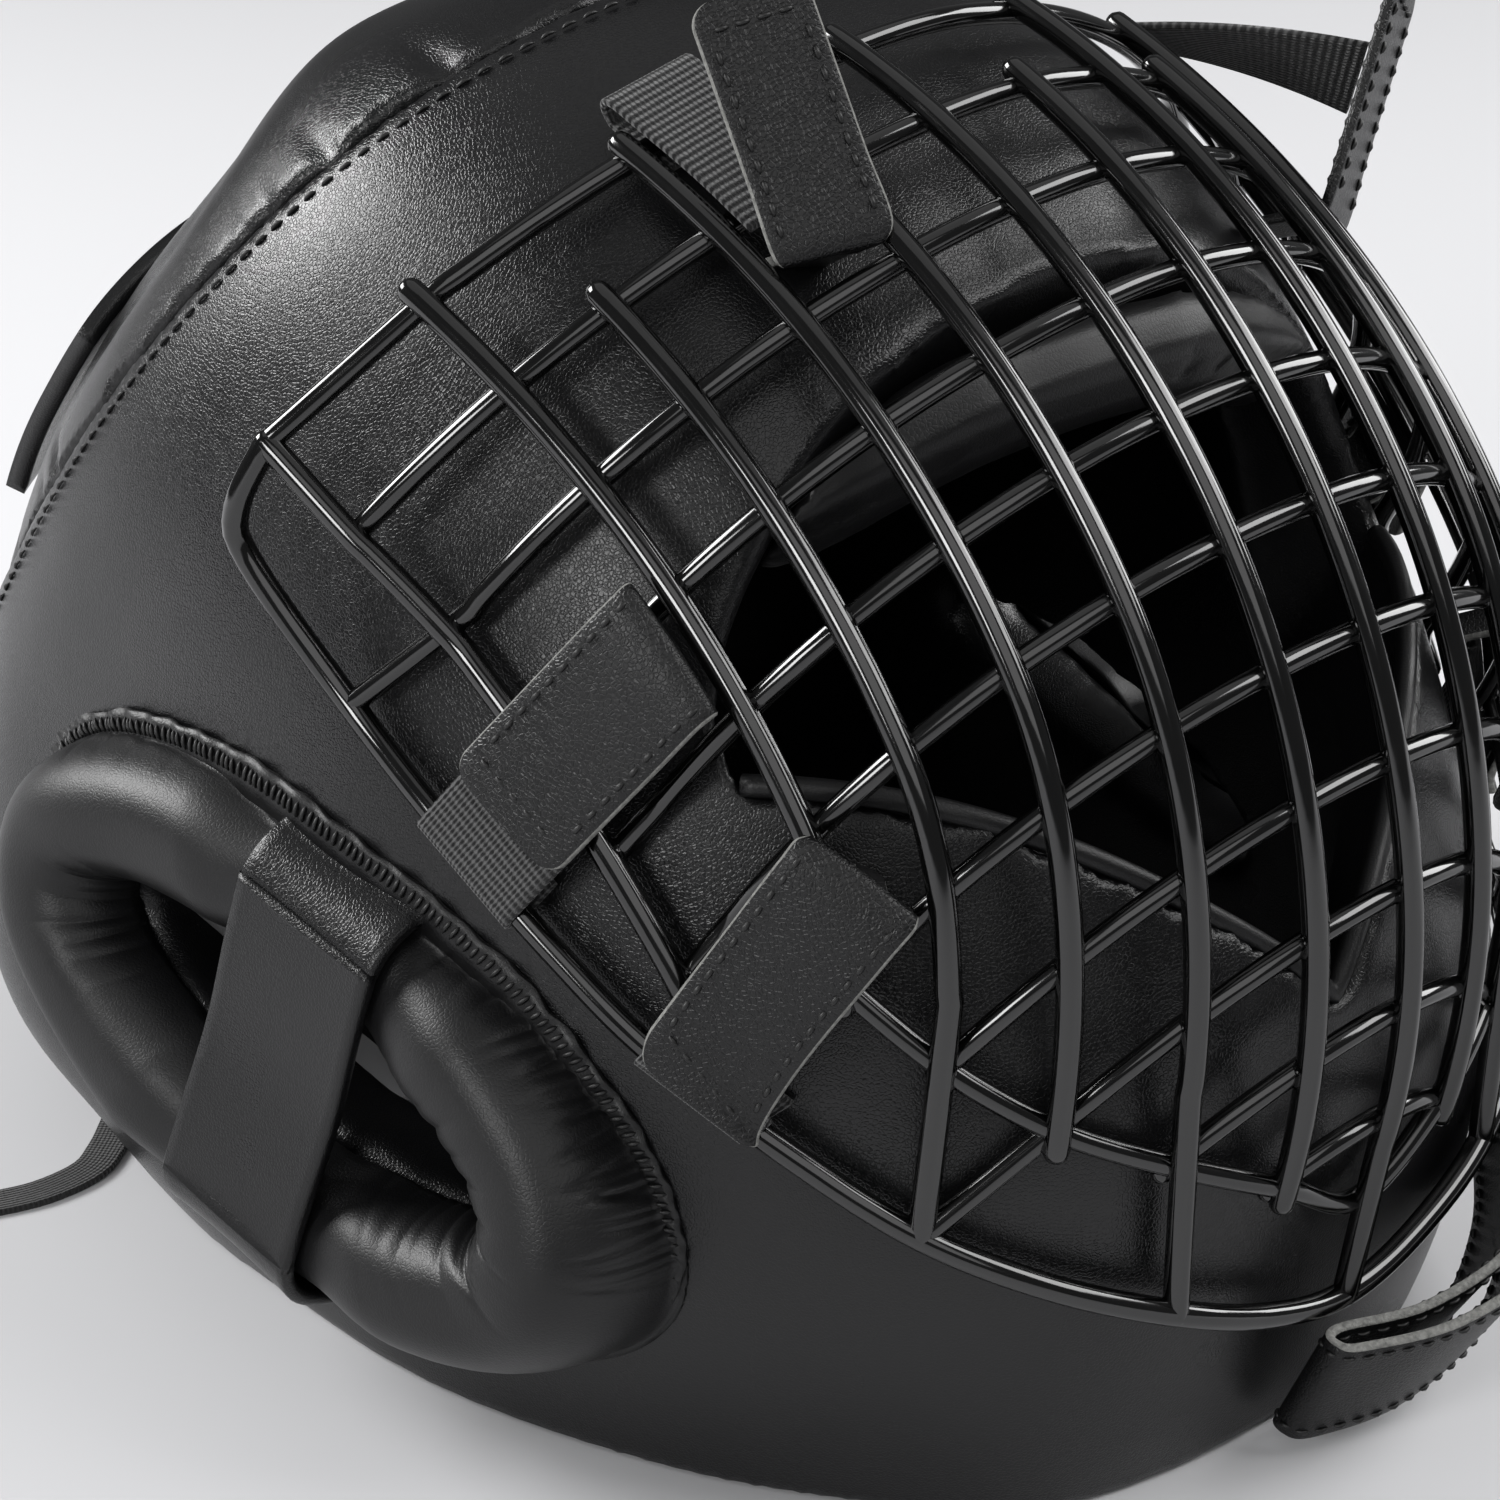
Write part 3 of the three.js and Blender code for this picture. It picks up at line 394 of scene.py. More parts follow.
def woven_tape(name, rib_mm, depth_mm, worn):
    """Tape: ribs across its width and threads along it, read from the tape's own map in millimetres."""
    finish, tree, shader = new_finish(name, "#0c0c0d", 0.85, Sheen_Weight=0.25, Sheen_Roughness=0.5)
    where = add_node(tree, "ShaderNodeUVMap", uv_map="millimetres").outputs["UV"]
    ribs = add_node(tree, "ShaderNodeTexWave", {"Vector": where}, bands_direction="Y", Scale=0.314 / rib_mm,
                    Distortion=0.6, Detail=1.0, Detail_Scale=2.0)
    threads = add_node(tree, "ShaderNodeTexWave", {"Vector": where}, bands_direction="X", Scale=0.314 / 0.7,
                       Distortion=1.0, Detail=1.0, Detail_Scale=3.0)
    weave = add_node(tree, "ShaderNodeMath", {0: ribs.outputs["Fac"], 1: threads.outputs["Fac"]},
                     operation="ADD").outputs[0]
    bump = add_node(tree, "ShaderNodeBump", {"Height": weave}, Strength=0.9, Distance=depth_mm / 1000)
    tint = add_node(tree, "ShaderNodeMix", {"Factor": weave}, data_type="RGBA")
    tint.inputs["A"].default_value = linear("#060606")
    tint.inputs["B"].default_value = linear(worn)
    tree.links.new(tint.outputs["Result"], shader.inputs["Base Color"])
    tree.links.new(bump.outputs["Normal"], shader.inputs["Normal"])
    return finish


RAW_EDGE = raw_edge()
COATING = dip_coating()
RIBBED_TAPE = woven_tape("ribbed_black_tape", 1.4, 0.5, "#1c1c1d")
LACE_TAPE = woven_tape("flat_woven_lace", 0.8, 0.2, "#1a1a1b")
# Waxed polyester sewing thread: dark, with a small round gloss
THREAD, _, _ = new_finish("waxed_black_thread", "#040404", 0.5)
print("finishes:", len(bpy.data.materials))

# %% [markdown]
# ## Floor, light and camera
#
# The photograph is a plain packshot on pale paper without a horizon. A soft box behind the right ear gives
# the broad highlight on the wall. Weaker ones in front, at the sides and overhead brighten the paper and put
# lines of light on the wires, and a dim sky fills the shadows. The camera looks down on the right ear and the
# net with a long lens, close enough that the frame cuts the crown and the chin.

# %% Camera
EYE = np.array([-370.4, -375.6 + REST_SHIFT, 334.3]) / 1000
RIGHT = np.array([0.7414, -0.6712, 0.0])
DOWN = np.array([-0.2876, -0.3179, -0.9036])
AHEAD = np.array([0.6063, 0.6698, -0.4288])
lens = bpy.data.cameras.new("camera")
lens.sensor_width = 36
lens.sensor_height = 36
lens.sensor_fit = "HORIZONTAL"
lens.lens = 86.4
camera = bpy.data.objects.new("camera", lens)
camera.matrix_world = Matrix.Translation(EYE) @ Matrix(np.stack([RIGHT, -DOWN, -AHEAD], 1)).to_4x4()
bpy.context.scene.collection.objects.link(camera)
bpy.context.scene.camera = camera
bpy.context.scene.view_settings.view_transform = "Standard"
print("camera: %.1f mm lens, %.0f mm above the floor" % (lens.lens, EYE[2] * 1000))

# %% Floor and light
HALF_FLOOR = 6.0
SKY_STRENGTH = 0.13
floor_corners = np.array([(-1, -1, 0), (1, -1, 0), (1, 1, 0), (-1, 1, 0)]) * HALF_FLOOR
floor_mesh = bpy.data.meshes.new("floor")
floor_mesh.from_pydata(floor_corners.tolist(), [], [(0, 1, 2, 3)])
PAPER, _, _ = new_finish("pale_studio_paper", "#cacacc", 0.9)
floor_mesh.materials.append(PAPER)
floor = bpy.data.objects.new("floor", floor_mesh)
bpy.context.scene.collection.objects.link(floor)

studio = bpy.data.worlds.new("dim_studio")
studio.use_nodes = True
sky = studio.node_tree.nodes["Background"]
sky.inputs["Color"].default_value = linear("#f4f5f7")
sky.inputs["Strength"].default_value = SKY_STRENGTH
bpy.context.scene.world = studio

# Soft boxes: name, place in metres, the point they look at, width, height and power in watts
SOFT_BOXES = [
    ("key", (-0.74, 1.14, 0.84), (0.0, -0.02, 0.14), 0.80, 0.56, 27.0),
    ("front", (0.95, -1.15, 1.55), (0.0, -0.05, 0.10), 1.20, 1.00, 24.0),
    ("right", (1.50, -0.50, 0.90), (0.15, -0.20, 0.0), 0.80, 0.80, 16.0),
    ("front_left", (-0.90, -1.30, 1.30), (-0.10, -0.30, 0.0), 1.80, 1.40, 10.0),
    ("side", (-1.40, -0.15, 0.60), (0.0, -0.05, 0.10), 0.40, 0.40, 7.0),
    ("overhead", (0.10, 0.10, 1.50), (0.0, 0.0, 0.05), 1.60, 1.40, 3.0),
]
for name, place, aim, wide, tall, watts in SOFT_BOXES:
    lamp = bpy.data.lights.new(name, "AREA")
    lamp.shape = "RECTANGLE"
    lamp.size = wide
    lamp.size_y = tall
    lamp.energy = watts
    box = bpy.data.objects.new(name, lamp)
    box.location = place
    box.rotation_euler = (Vector(aim) - Vector(place)).to_track_quat("-Z", "Y").to_euler()
    bpy.context.scene.collection.objects.link(box)
print("soft boxes:", len(SOFT_BOXES))

# %% [markdown]
# ## The lace end
#
# A flat woven lace closes the back. One end of it comes out from behind the shell and lies on the floor.
# Its route repeats the solid's points, and a thin rounded profile is carried along.

# %% Lace
LACE_WIDTH = 7.0
LACE_THICK = 1.2
LACE_WAY = np.array([(-80.6, 110.8), (-85, 106.5), (-91, 101), (-98, 96.5), (-108, 96), (-117.4, 99)], float)


def band_from(rail_a, rail_b, thickness, bulge=0.0, edge_steps=2, flat_steps=8):
    """Strap as a closed profile carried along two rails: flat faces, rounded edges, an arched back.

    Each cross-section runs from rail a to rail b over the top, round the edge and back underneath.
    Returns points as rows by profile, the outward direction of each row and the profile's edge flags.
    """
    middle = (rail_a + rail_b) / 2
    along = unit(np.gradient(middle, axis=0))
    across = rail_b - rail_a
    half = np.linalg.norm(across, axis=-1, keepdims=True) / 2
    across = unit(across)
    up = unit(np.cross(across, along))
    flat = np.linspace(-1, 1, flat_steps)
    turn = np.linspace(0, np.pi, edge_steps + 2)[1:-1]
    soft = thickness * 0.22
    side = np.concatenate([flat, 1 + 0 * turn, -flat, -1 - 0 * turn])
    lift = np.concatenate([np.ones(flat_steps), np.cos(turn), -np.ones(flat_steps), -np.cos(turn)])
    inset = np.concatenate([np.where(np.abs(flat) == 1, 1, 0), 1 - np.sin(turn)] * 2)
    edge = np.concatenate([np.zeros(flat_steps - 1), np.ones(edge_steps + 1)] * 2).astype(bool)
    arch = bulge * (1 - side**2)
    points = (middle[:, None] + across[:, None] * (side * (half - inset * soft))[..., None]
              + up[:, None] * (lift * thickness / 2 + arch)[None, :, None])
    return points, up, edge


def capped(points):
    """Faces of a closed profile carried along a path, with its two ends closed by one face each."""
    rows, columns = points.shape[:2]
    ring = np.arange(columns)
    sides = grid_faces(rows, columns, False, True).tolist()
    return sides + [ring[::-1].tolist(), (ring + (rows - 1) * columns).tolist()]


def profile_map(points):
    """Map of a carried profile in millimetres: across from the middle, and along."""
    rows, columns = points.shape[:2]
    along = lengths_along(points.mean(axis=1))
    centre = points.mean(axis=1, keepdims=True)
    width = unit(points[:, 0] - points[:, columns // 2])
    across = np.einsum("rck,rk->rc", points - centre, width)
    return np.stack([across, np.repeat(along[:, None], columns, 1)], -1).reshape(-1, 2)


lace_way = evenly(LACE_WAY, 2.0)
lace_run = unit(np.gradient(lace_way, axis=0))
lace_side = np.stack([-lace_run[:, 1], lace_run[:, 0]], -1) * LACE_WIDTH / 2
lace_low = LACE_THICK / 2
rail_a = on_floor(*(lace_way + lace_side).T, lace_low)
rail_b = on_floor(*(lace_way - lace_side).T, lace_low)
lace_points, _, _ = band_from(rail_a, rail_b, LACE_THICK)
lace = new_piece("lace_end", lace_points.reshape(-1, 3), capped(lace_points), [LACE_TAPE],
                 flat_map=profile_map(lace_points))
enlist(lace, "woven_tape", "back_lace")
lace_path = laid(on_floor(*lace_way.T, lace_low))

# %% [markdown]
# ## The stuffed walls
#
# Shell, crown and brow roll are leather sewn round foam, so no edge is sharp. Each solid of the
# frame is copied, its skin is rebuilt from small even faces and relaxed, which turns every cut edge into
# a soft roll. Points on the outside are then set back onto the ring law, because relaxing shrinks them, and
# long shallow waves keep the leather from looking machined.

# %% Padded copies
def rounded_copy(node, name, voxel_mm, relax):
    """Copy a solid, rebuild its skin with even faces and relax it by a number of smoothing steps."""
    shape = bmesh.new()
    shape.from_mesh(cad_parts[node].data)
    bmesh.ops.remove_doubles(shape, verts=shape.verts, dist=1e-5)
    rough = bpy.data.meshes.new(name)
    shape.to_mesh(rough)
    shape.free()
    piece = bpy.data.objects.new(name, rough)
    bpy.context.scene.collection.objects.link(piece)
    skin = piece.modifiers.new("even_skin", "REMESH")
    skin.mode = "VOXEL"
    skin.voxel_size = voxel_mm / 1000
    ease = piece.modifiers.new("relax", "SMOOTH")
    ease.factor = 0.5
    ease.iterations = relax
    bpy.context.view_layer.update()
    made = bpy.data.meshes.new_from_object(piece.evaluated_get(bpy.context.evaluated_depsgraph_get()))
    piece.modifiers.clear()
    piece.data = made
    bpy.data.meshes.remove(rough)
    made.name = name
    return piece


def corners_of(piece):
    """Upright points and normals of a mesh."""
    count = len(piece.data.vertices)
    place = np.empty(count * 3, np.float32)
    normal = np.empty(count * 3, np.float32)
    piece.data.vertices.foreach_get("co", place)
    piece.data.vertices.foreach_get("normal", normal)
    return upright(place.reshape(-1, 3).astype(float)), normal.reshape(-1, 3).astype(float) @ TURN


def set_corners(piece, points):
    """Write upright points back into a mesh and shade it smooth."""
    piece.data.vertices.foreach_set("co", laid(points).astype(np.float32).ravel())
    piece.data.polygons.foreach_set("use_smooth", np.ones(len(piece.data.polygons), bool))
    piece.data.update()


WAVE_PITCH = 70.0
WAVE_SEED = 3


def waves(p, pitch, seed):
    """Slow uneven waves from -1 to 1: three crossed sines whose directions come from a seed."""
    draw = np.random.default_rng(seed)
    ways = unit(draw.normal(size=(3, 3)))
    phase = draw.uniform(0, 2 * np.pi, 3)
    spread = draw.uniform(0.7, 1.4, 3)
    return np.sin(p @ ways.T * (2 * np.pi / pitch) * spread + phase).mean(axis=-1)


def no_dents(p):
    """Depth of a surface without dents: zero everywhere."""
    return np.zeros(len(p))


def stuffed(node, name, finish, slot, depth=0.0, voxel=2.0, relax=16, wave=0.5, dents=no_dents):
    """Padded piece: rounded copy set a given depth under the ring law, with slow waves and dents."""
    piece = rounded_copy(node, name, voxel, relax)
    p, normal = corners_of(piece)
    outward = leather_normal(p)
    height = leather_height(p)
    facing = smoothstep(0.55, 0.95, (normal * outward).sum(-1)) * (np.abs(height + depth) < 5)
    target = -depth + wave * waves(p, WAVE_PITCH, WAVE_SEED) - dents(p)
    p = p + outward * (facing * (target - height))[:, None]
    resting = p @ TURN.T + PLACE
    resting[:, 2] = np.maximum(resting[:, 2], 0)
    p = (resting - PLACE) @ TURN
    set_corners(piece, p)
    piece.data.materials.clear()
    piece.data.materials.append(finish)
    enlist(piece, slot, node)
    print(name, len(piece.data.polygons), "faces")


def hollows(p, table):
    """Sum of round hollows, each with its place, radius and depth; a negative depth is a bulge."""
    table = np.asarray(table, float)
    near = np.linalg.norm(p[:, None] - table[:, :3], axis=-1) / table[:, 3]
    return (np.exp(-near**2) * table[:, 4]).sum(-1)


# The wall is plumper behind the ears: across, back, up, radius and depth, on the right and on the left
BEHIND_EARS = [
    (-98, 122, 44, 36, -6.0),
    (-90, 118, 2, 24, -3.0),
    (98, 122, 44, 36, -6.0),
    (90, 118, 2, 24, -3.0),
]
stuffed("shell", "shell_wall", SHELL_LEATHER, "matte_leather", dents=lambda p: hollows(p, BEHIND_EARS))

# %% Crown with its gathers
SEAM_UP = 92.0
SEAM_RISE = 0.12
CROWN_STEP = 1.5
# Shallow hollows of the slack crown: across, back, up, radius and depth
CROWN_SLACK = [
    (-61, 12, 121, 20, 3.6),
    (-70, 34, 118, 14, 1.5),
    (-40, -22, 118, 14, -1.5),
    (48, 30, 122, 24, 3.0),
]
GATHER_COUNT = 34
CROWN_MIDDLE = 66.0
CROWN_RADIUS = 95.0


def crown_dents(p):
    """Slack of the crown panel: a few shallow hollows, and gathers that fade upwards from the seam."""
    draw = np.random.default_rng(5)
    round_head = np.arctan2(p[:, 0], CROWN_MIDDLE - p[:, 1])
    above_seam = p[:, 2] - SEAM_UP - SEAM_RISE * p[:, 1]
    gathers = np.zeros(len(p))
    for at in draw.uniform(-np.pi, np.pi, GATHER_COUNT):
        wide = draw.uniform(1.2, 2.6)
        deep = draw.uniform(0.3, 1.3)
        tall = draw.uniform(6, 16)
        off = np.angle(np.exp(1j * (round_head - at))) * CROWN_RADIUS
        gathers += deep * np.exp(-((off / wide) ** 2)) * np.exp(-((above_seam / tall) ** 2))
    return hollows(p, CROWN_SLACK) + gathers


stuffed("crown_panel", "crown_dome", SHELL_LEATHER, "matte_leather", depth=CROWN_STEP, dents=crown_dents)
stuffed("brow_pad", "brow_roll", SOFT_LEATHER, "soft_leather", voxel=1.6, relax=6, wave=0.0)

# %% [markdown]
# ## Stitches
#
# Sewn rows run along the crown seam, round the straps and over the cut edge of the ear rings. Every stitch is
# the same small spindle of thread between two needle holes, so one template is copied along a row with whole
# arrays: centre, direction along the row and direction out of the leather give each copy its place.

# %% Stitch rows
SPINDLE_SIDES = 6
SPINDLE_RINGS = np.array([(-1.0, 0.30), (-0.6, 0.85), (0.0, 1.0), (0.6, 0.85), (1.0, 0.30)])


def spindles(starts, ends, outward, radius, sink=0.4):
    """Points and faces of one spindle per stitch: rings round the line from start to end, arched outwards."""
    starts, ends = np.asarray(starts), np.asarray(ends)
    run = ends - starts
    half = np.linalg.norm(run, axis=-1)[:, None, None, None] / 2
    run = unit(run)
    side = unit(np.cross(outward, run))
    out = np.cross(run, side)
    a = np.linspace(0, 2 * np.pi, SPINDLE_SIDES, endpoint=False)
    t, r = SPINDLE_RINGS.T
    arch = radius * (1 - t**2) - sink * radius
    centre = ((starts + ends) / 2)[:, None, None]
    points = (centre + run[:, None, None] * (t[None, :, None, None] * half)
              + side[:, None, None] * (radius * r[:, None] * np.cos(a))[None, ..., None]
              + out[:, None, None] * (radius * r[:, None] * np.sin(a) + arch[:, None])[None, ..., None])
    rings, sides = len(t), SPINDLE_SIDES
    one = grid_faces(rings, sides, False, True)
    size = rings * sides
    shift = np.arange(len(starts))[:, None, None] * size
    quads = (one[None] + shift).reshape(-1, 4).tolist()
    cap = np.arange(sides)
    shift = shift[:, :, 0]
    ends_low = (cap[::-1][None] + shift).tolist()
    ends_high = (cap[None] + size - sides + shift).tolist()
    return points.reshape(-1, 3), quads + ends_low + ends_high


def sewn_row(path, outward, pitch, length, radius):
    """Start, end and outward direction of stitches at an even pitch along a path."""
    along = lengths_along(path)
    middle = np.arange(pitch / 2, along[-1] - pitch / 2, pitch)
    at = lambda s, values: np.stack([np.interp(s, along, values[:, k]) for k in range(3)], -1)
    return at(middle - length / 2, path), at(middle + length / 2, path), unit(at(middle, outward)), radius


def sew(name, rows, slot="woven_tape"):
    """One piece of thread from several sewn rows."""
    points, faces, start = [], [], 0
    for row in rows:
        p, f = spindles(*row)
        points.append(p)
        faces += [[k + start for k in face] for face in f]
        start += len(p)
    return enlist(new_piece(name, np.concatenate(points), faces, [THREAD]), slot)


# %% [markdown]
# ## The crown seam and strap
#
# The crown is a panel of its own: the wall's leather is turned in along the seam and sewn with one row
# just under the edge. A stiff strap over the top of the head draws the crown together; only its end shows.

# %% Seam stitches
SEAM_DROP = 3.2
SEAM_STITCH = {"pitch": 3.6, "length": 2.5, "radius": 0.34}


def ring_points(up, angle):
    """Points of the outside at heights and angles counted from the front to the left."""
    half, front, back, widest = ring_at(up)
    c, s = np.cos(angle), np.sin(angle)
    power = np.where(c > 0, FRONT_POWER, back_power(up))
    reach = np.where(c > 0, widest - front, back - widest)
    rounded = lambda v: np.sign(v) * np.abs(v) ** (2 / power)
    return np.stack([half * rounded(s), widest - reach * rounded(c), up + 0 * s], -1)


angle = np.linspace(0, 2 * np.pi, 721)
seam_up = np.full_like(angle, SEAM_UP)
for _ in range(4):
    seam_up = SEAM_UP + SEAM_RISE * ring_points(seam_up, angle)[:, 1]
seam = stand_off(ring_points(seam_up - SEAM_DROP, angle), 0.35)
seam_rows = [sewn_row(seam, leather_normal(seam), **SEAM_STITCH)]
sew("crown_seam_stitches", seam_rows, "matte_leather")

# %% Crown strap
CROWN_STRAP = {"front": 44.0, "back": 90.0, "half": 64.0, "thick": 3.6, "clear": 0.4, "lift": np.radians(7)}


def dome_height(x, y):
    """Height of the outside over the crown: halve the span of heights until it meets the ring law."""
    low = np.full(x.shape, SEAM_UP)
    high = np.full(x.shape, RINGS[-1, 0])
    for _ in range(30):
        up = (low + high) / 2
        outside = ring_excess(np.stack([x, y, up], -1)) > 0
        low = np.where(outside, low, up)
        high = np.where(outside, up, high)
    return high


def crown_sheet(height):
    """Grid over the crown between the strap's edges, at a height above the ring law, lifted to the back."""
    across = np.linspace(-CROWN_STRAP["half"], CROWN_STRAP["half"], 90)
    along = np.linspace(CROWN_STRAP["front"], CROWN_STRAP["back"], 34)
    x, y = np.meshgrid(across, along, indexing="ij")
    up = dome_height(x, y)
    slope_x, slope_y = np.gradient(up, across, along)
    outward = unit(np.stack([-slope_x, -slope_y, np.ones_like(up)], -1))
    lying = np.stack([x, y, up], -1) + outward * height
    hinge = np.array([0, CROWN_STRAP["front"], RINGS[-1, 0]])
    c, s = np.cos(CROWN_STRAP["lift"]), np.sin(CROWN_STRAP["lift"])
    return (lying - hinge) @ np.array([[1, 0, 0], [0, c, s], [0, -s, c]]) + hinge


under = CROWN_STRAP["clear"] - CROWN_STEP
low = crown_sheet(under)
high = crown_sheet(under + CROWN_STRAP["thick"])
count = low.shape[0] * low.shape[1]
index = np.arange(count).reshape(low.shape[:2])
rim_walk = np.concatenate([index[:-1, 0], index[-1, :-1], index[:0:-1, -1], index[0, :0:-1]])
walls = np.stack([rim_walk, np.roll(rim_walk, -1), np.roll(rim_walk, -1) + count, rim_walk + count], -1)
strap_faces = np.concatenate([grid_faces(*low.shape[:2], False, False),
                              grid_faces(*low.shape[:2], False, False, count), walls])
crown_strap = new_piece("crown_strap_leather", np.concatenate([low.reshape(-1, 3), high.reshape(-1, 3)]),
                        strap_faces.tolist(), [SHELL_LEATHER])
enlist(crown_strap, "matte_leather", "crown_strap")
print("seam stitches:", len(seam_rows[0][0]))

# %% [markdown]
# ## Piping of the face opening
#
# The leather of the cheeks and the chin is turned over a thin cord along the face opening, which shows as a
# rolled edge behind the net. The cord follows the opening's outline on the ring law, sunk into the edge.

# %% Piping
FACE = {"half": 70.0, "middle": -28.0, "chin": -92.0, "power": 1.04}
PIPING = 1.7
PIPING_SUNK = 1.3
PIPING_OUT = 1.0


def front_wall(x, up):
    """Points of the front of the shell at given places across and heights."""
    half, front, _, widest = ring_at(up)
    share = np.clip(1 - np.abs(x / half) ** FRONT_POWER, 0, 1) ** (1 / FRONT_POWER)
    return np.stack([x, widest - (widest - front) * share, up], -1)


def round_cord(path, radius, sides=10):
    """Closed tube along an open path, with sides carried by the leather's own outward direction."""
    run = unit(np.gradient(path, axis=0))
    out = leather_normal(path)
    across = unit(np.cross(run, out))
    out = np.cross(across, run)
    a = np.linspace(0, 2 * np.pi, sides, endpoint=False)[None, :, None]
    return path[:, None] + radius * (np.cos(a) * across[:, None] + np.sin(a) * out[:, None])


a = np.linspace(np.pi * 1.03, np.pi * 1.97, 120)
rounded = lambda v: np.sign(v) * np.abs(v) ** (2 / FACE["power"])
edge_x = (FACE["half"] + PIPING_OUT) * rounded(np.cos(a))
edge_up = FACE["middle"] + (FACE["middle"] - FACE["chin"] + PIPING_OUT) * rounded(np.sin(a))
edge_path = evenly(front_wall(edge_x, edge_up), 2.0)
edge_path = edge_path - leather_normal(edge_path) * PIPING_SUNK
cord = round_cord(edge_path, PIPING)
piping = new_piece("face_piping", cord.reshape(-1, 3), capped(cord), [SOFT_LEATHER])
enlist(piping, "soft_leather")
print("piping: %.0f mm" % lengths_along(edge_path)[-1])

# %% [markdown]
# ## Ear rings
#
# Each ear hole is framed by a stuffed oval ring. Its leather is cut straight and gathered round the two
# narrow ends, so creases fan out from the hole there. The ring is a tube carried round an oval: one parameter
# goes round the hole, the other across the roll. Creases are narrow valleys pressed into it, and points
# that would sink into the wall are lifted onto the leather.

# %% Ear frame
EAR = {"half_tall": 58.0, "half_long": 24.0, "width": 14.0, "proud": 20.0, "sunk": 4.0}
BRIDGE = {"width": 30.0, "thick": 2.4, "up": -4.0, "clear": 0.6, "sag": 1.2}
EAR_CENTRE = np.array([-95, 55.3, -5.4])
EAR_TURN = 0.2
EAR_TILT = np.radians(21)


def turned(v, axis, angle):
    """A vector turned about a unit axis by an angle (Rodrigues' rule)."""
    return v * np.cos(angle) + np.cross(axis, v) * np.sin(angle) + axis * (axis @ v) * (1 - np.cos(angle))


EAR_OUT = unit(np.array([-1, -EAR_TURN, 0]))
EAR_BACK = turned(unit(np.array([-EAR_TURN, 1, 0])), EAR_OUT, EAR_TILT)
EAR_UP = turned(np.array([0, 0, 1.0]), EAR_OUT, EAR_TILT)


def ear_point(back, up, out):
    """Upright place of a point given in the ear's own plane: to the back, up along the oval, and outwards."""
    parts = np.broadcast_arrays(back, up, out)
    return EAR_CENTRE + sum(np.multiply.outer(k, v) for k, v in zip(parts, (EAR_BACK, EAR_UP, EAR_OUT)))


def above_leather(points, least):
    """Points lifted onto the leather where they lie lower than a least height."""
    low = leather_height(points) < least
    points = points.copy()
    points[low] = stand_off(points[low], least)
    return points


# %% Ring surface
ROLL_POWER = 0.82
ROLL_CLEAR = 0.5
FLANGE_ACROSS = np.array([-3.0, -0.4, 1.6, 3.2])
FLANGE_UP = 1.1
FLANGE_THICK = 0.8
PRESS = {"deep": 2.2, "fade": 14.0}
# Groups of creases: middle and spread of their angles, count, side of the roll, least and most depth, width
CREASES = [
    (1.5 * np.pi, 1.05, 26, "hole", 0.4, 1.3, 0.040),
    (0.5 * np.pi, 0.85, 13, "hole", 0.4, 1.1, 0.055),
    (0.5 * np.pi, 1.0, 14, "edge", 0.2, 0.6, 0.022),
    (1.22 * np.pi, 0.80, 40, "edge", 0.3, 1.0, 0.013),
]


def squarish(v):
    """Sine or cosine of a roll that is flatter on top and steeper at its flanks than a circle."""
    return np.sign(v) * np.abs(v) ** ROLL_POWER


def gathers(a, b, seed):
    """Depth of the creases on the ring: narrow valleys that fade from the hole or from the sewn edge."""
    draw = np.random.default_rng(seed)
    depth = np.zeros(a.shape)
    for middle, spread, count, side, least, most, width in CREASES:
        even = np.linspace(-spread, spread, count) + draw.normal(0, 0.25 * spread / count, count)
        near = (1 - np.cos(b)) / 2 if side == "hole" else (1 + np.cos(b)) / 2
        for at in middle + even:
            reach = draw.uniform(0.30, 0.72) if side == "hole" else draw.uniform(0.14, 0.27)
            deep = draw.uniform(least, most) * (1 - 0.6 * ((at - middle) / spread) ** 2)
            off = np.abs(np.angle(np.exp(1j * (a - at - draw.normal(0, 0.06) * np.sin(b)))))
            valley = np.exp(-((off / (width * draw.uniform(0.7, 1.3))) ** 1.4))
            depth += deep * smoothstep(1 - reach, 1.05, near) * valley
    return depth


def pressed(along):
    """Depth to which the bridge presses the roll, at places along the oval's long axis."""
    beyond = np.abs(along - BRIDGE["up"]) - BRIDGE["width"] / 2
    return PRESS["deep"] * (1 - smoothstep(-2, PRESS["fade"], beyond))


def ear_ring(seed):
    """Grid of the ring: an oval tube, pressed in under the bridge, with creases along its own normal."""
    a, b = np.meshgrid(np.linspace(0, 2 * np.pi, 900, endpoint=False),
                       np.linspace(0, 2 * np.pi, 64, endpoint=False), indexing="ij")
    deep = gathers(a, b, seed) + pressed(EAR["half_tall"] * np.sin(a))
    plump = 1 + 0.02 * np.sin(3 * a + 0.6) + 0.015 * np.sin(7 * a)
    grow = (EAR["width"] - deep) * squarish(np.cos(b))
    rise = (EAR["proud"] * plump - deep) * squarish(np.sin(b)) - EAR["sunk"]
    points = ear_point((EAR["half_long"] + grow) * np.cos(a), (EAR["half_tall"] + grow) * np.sin(a), rise)
    return above_leather(points, ROLL_CLEAR)


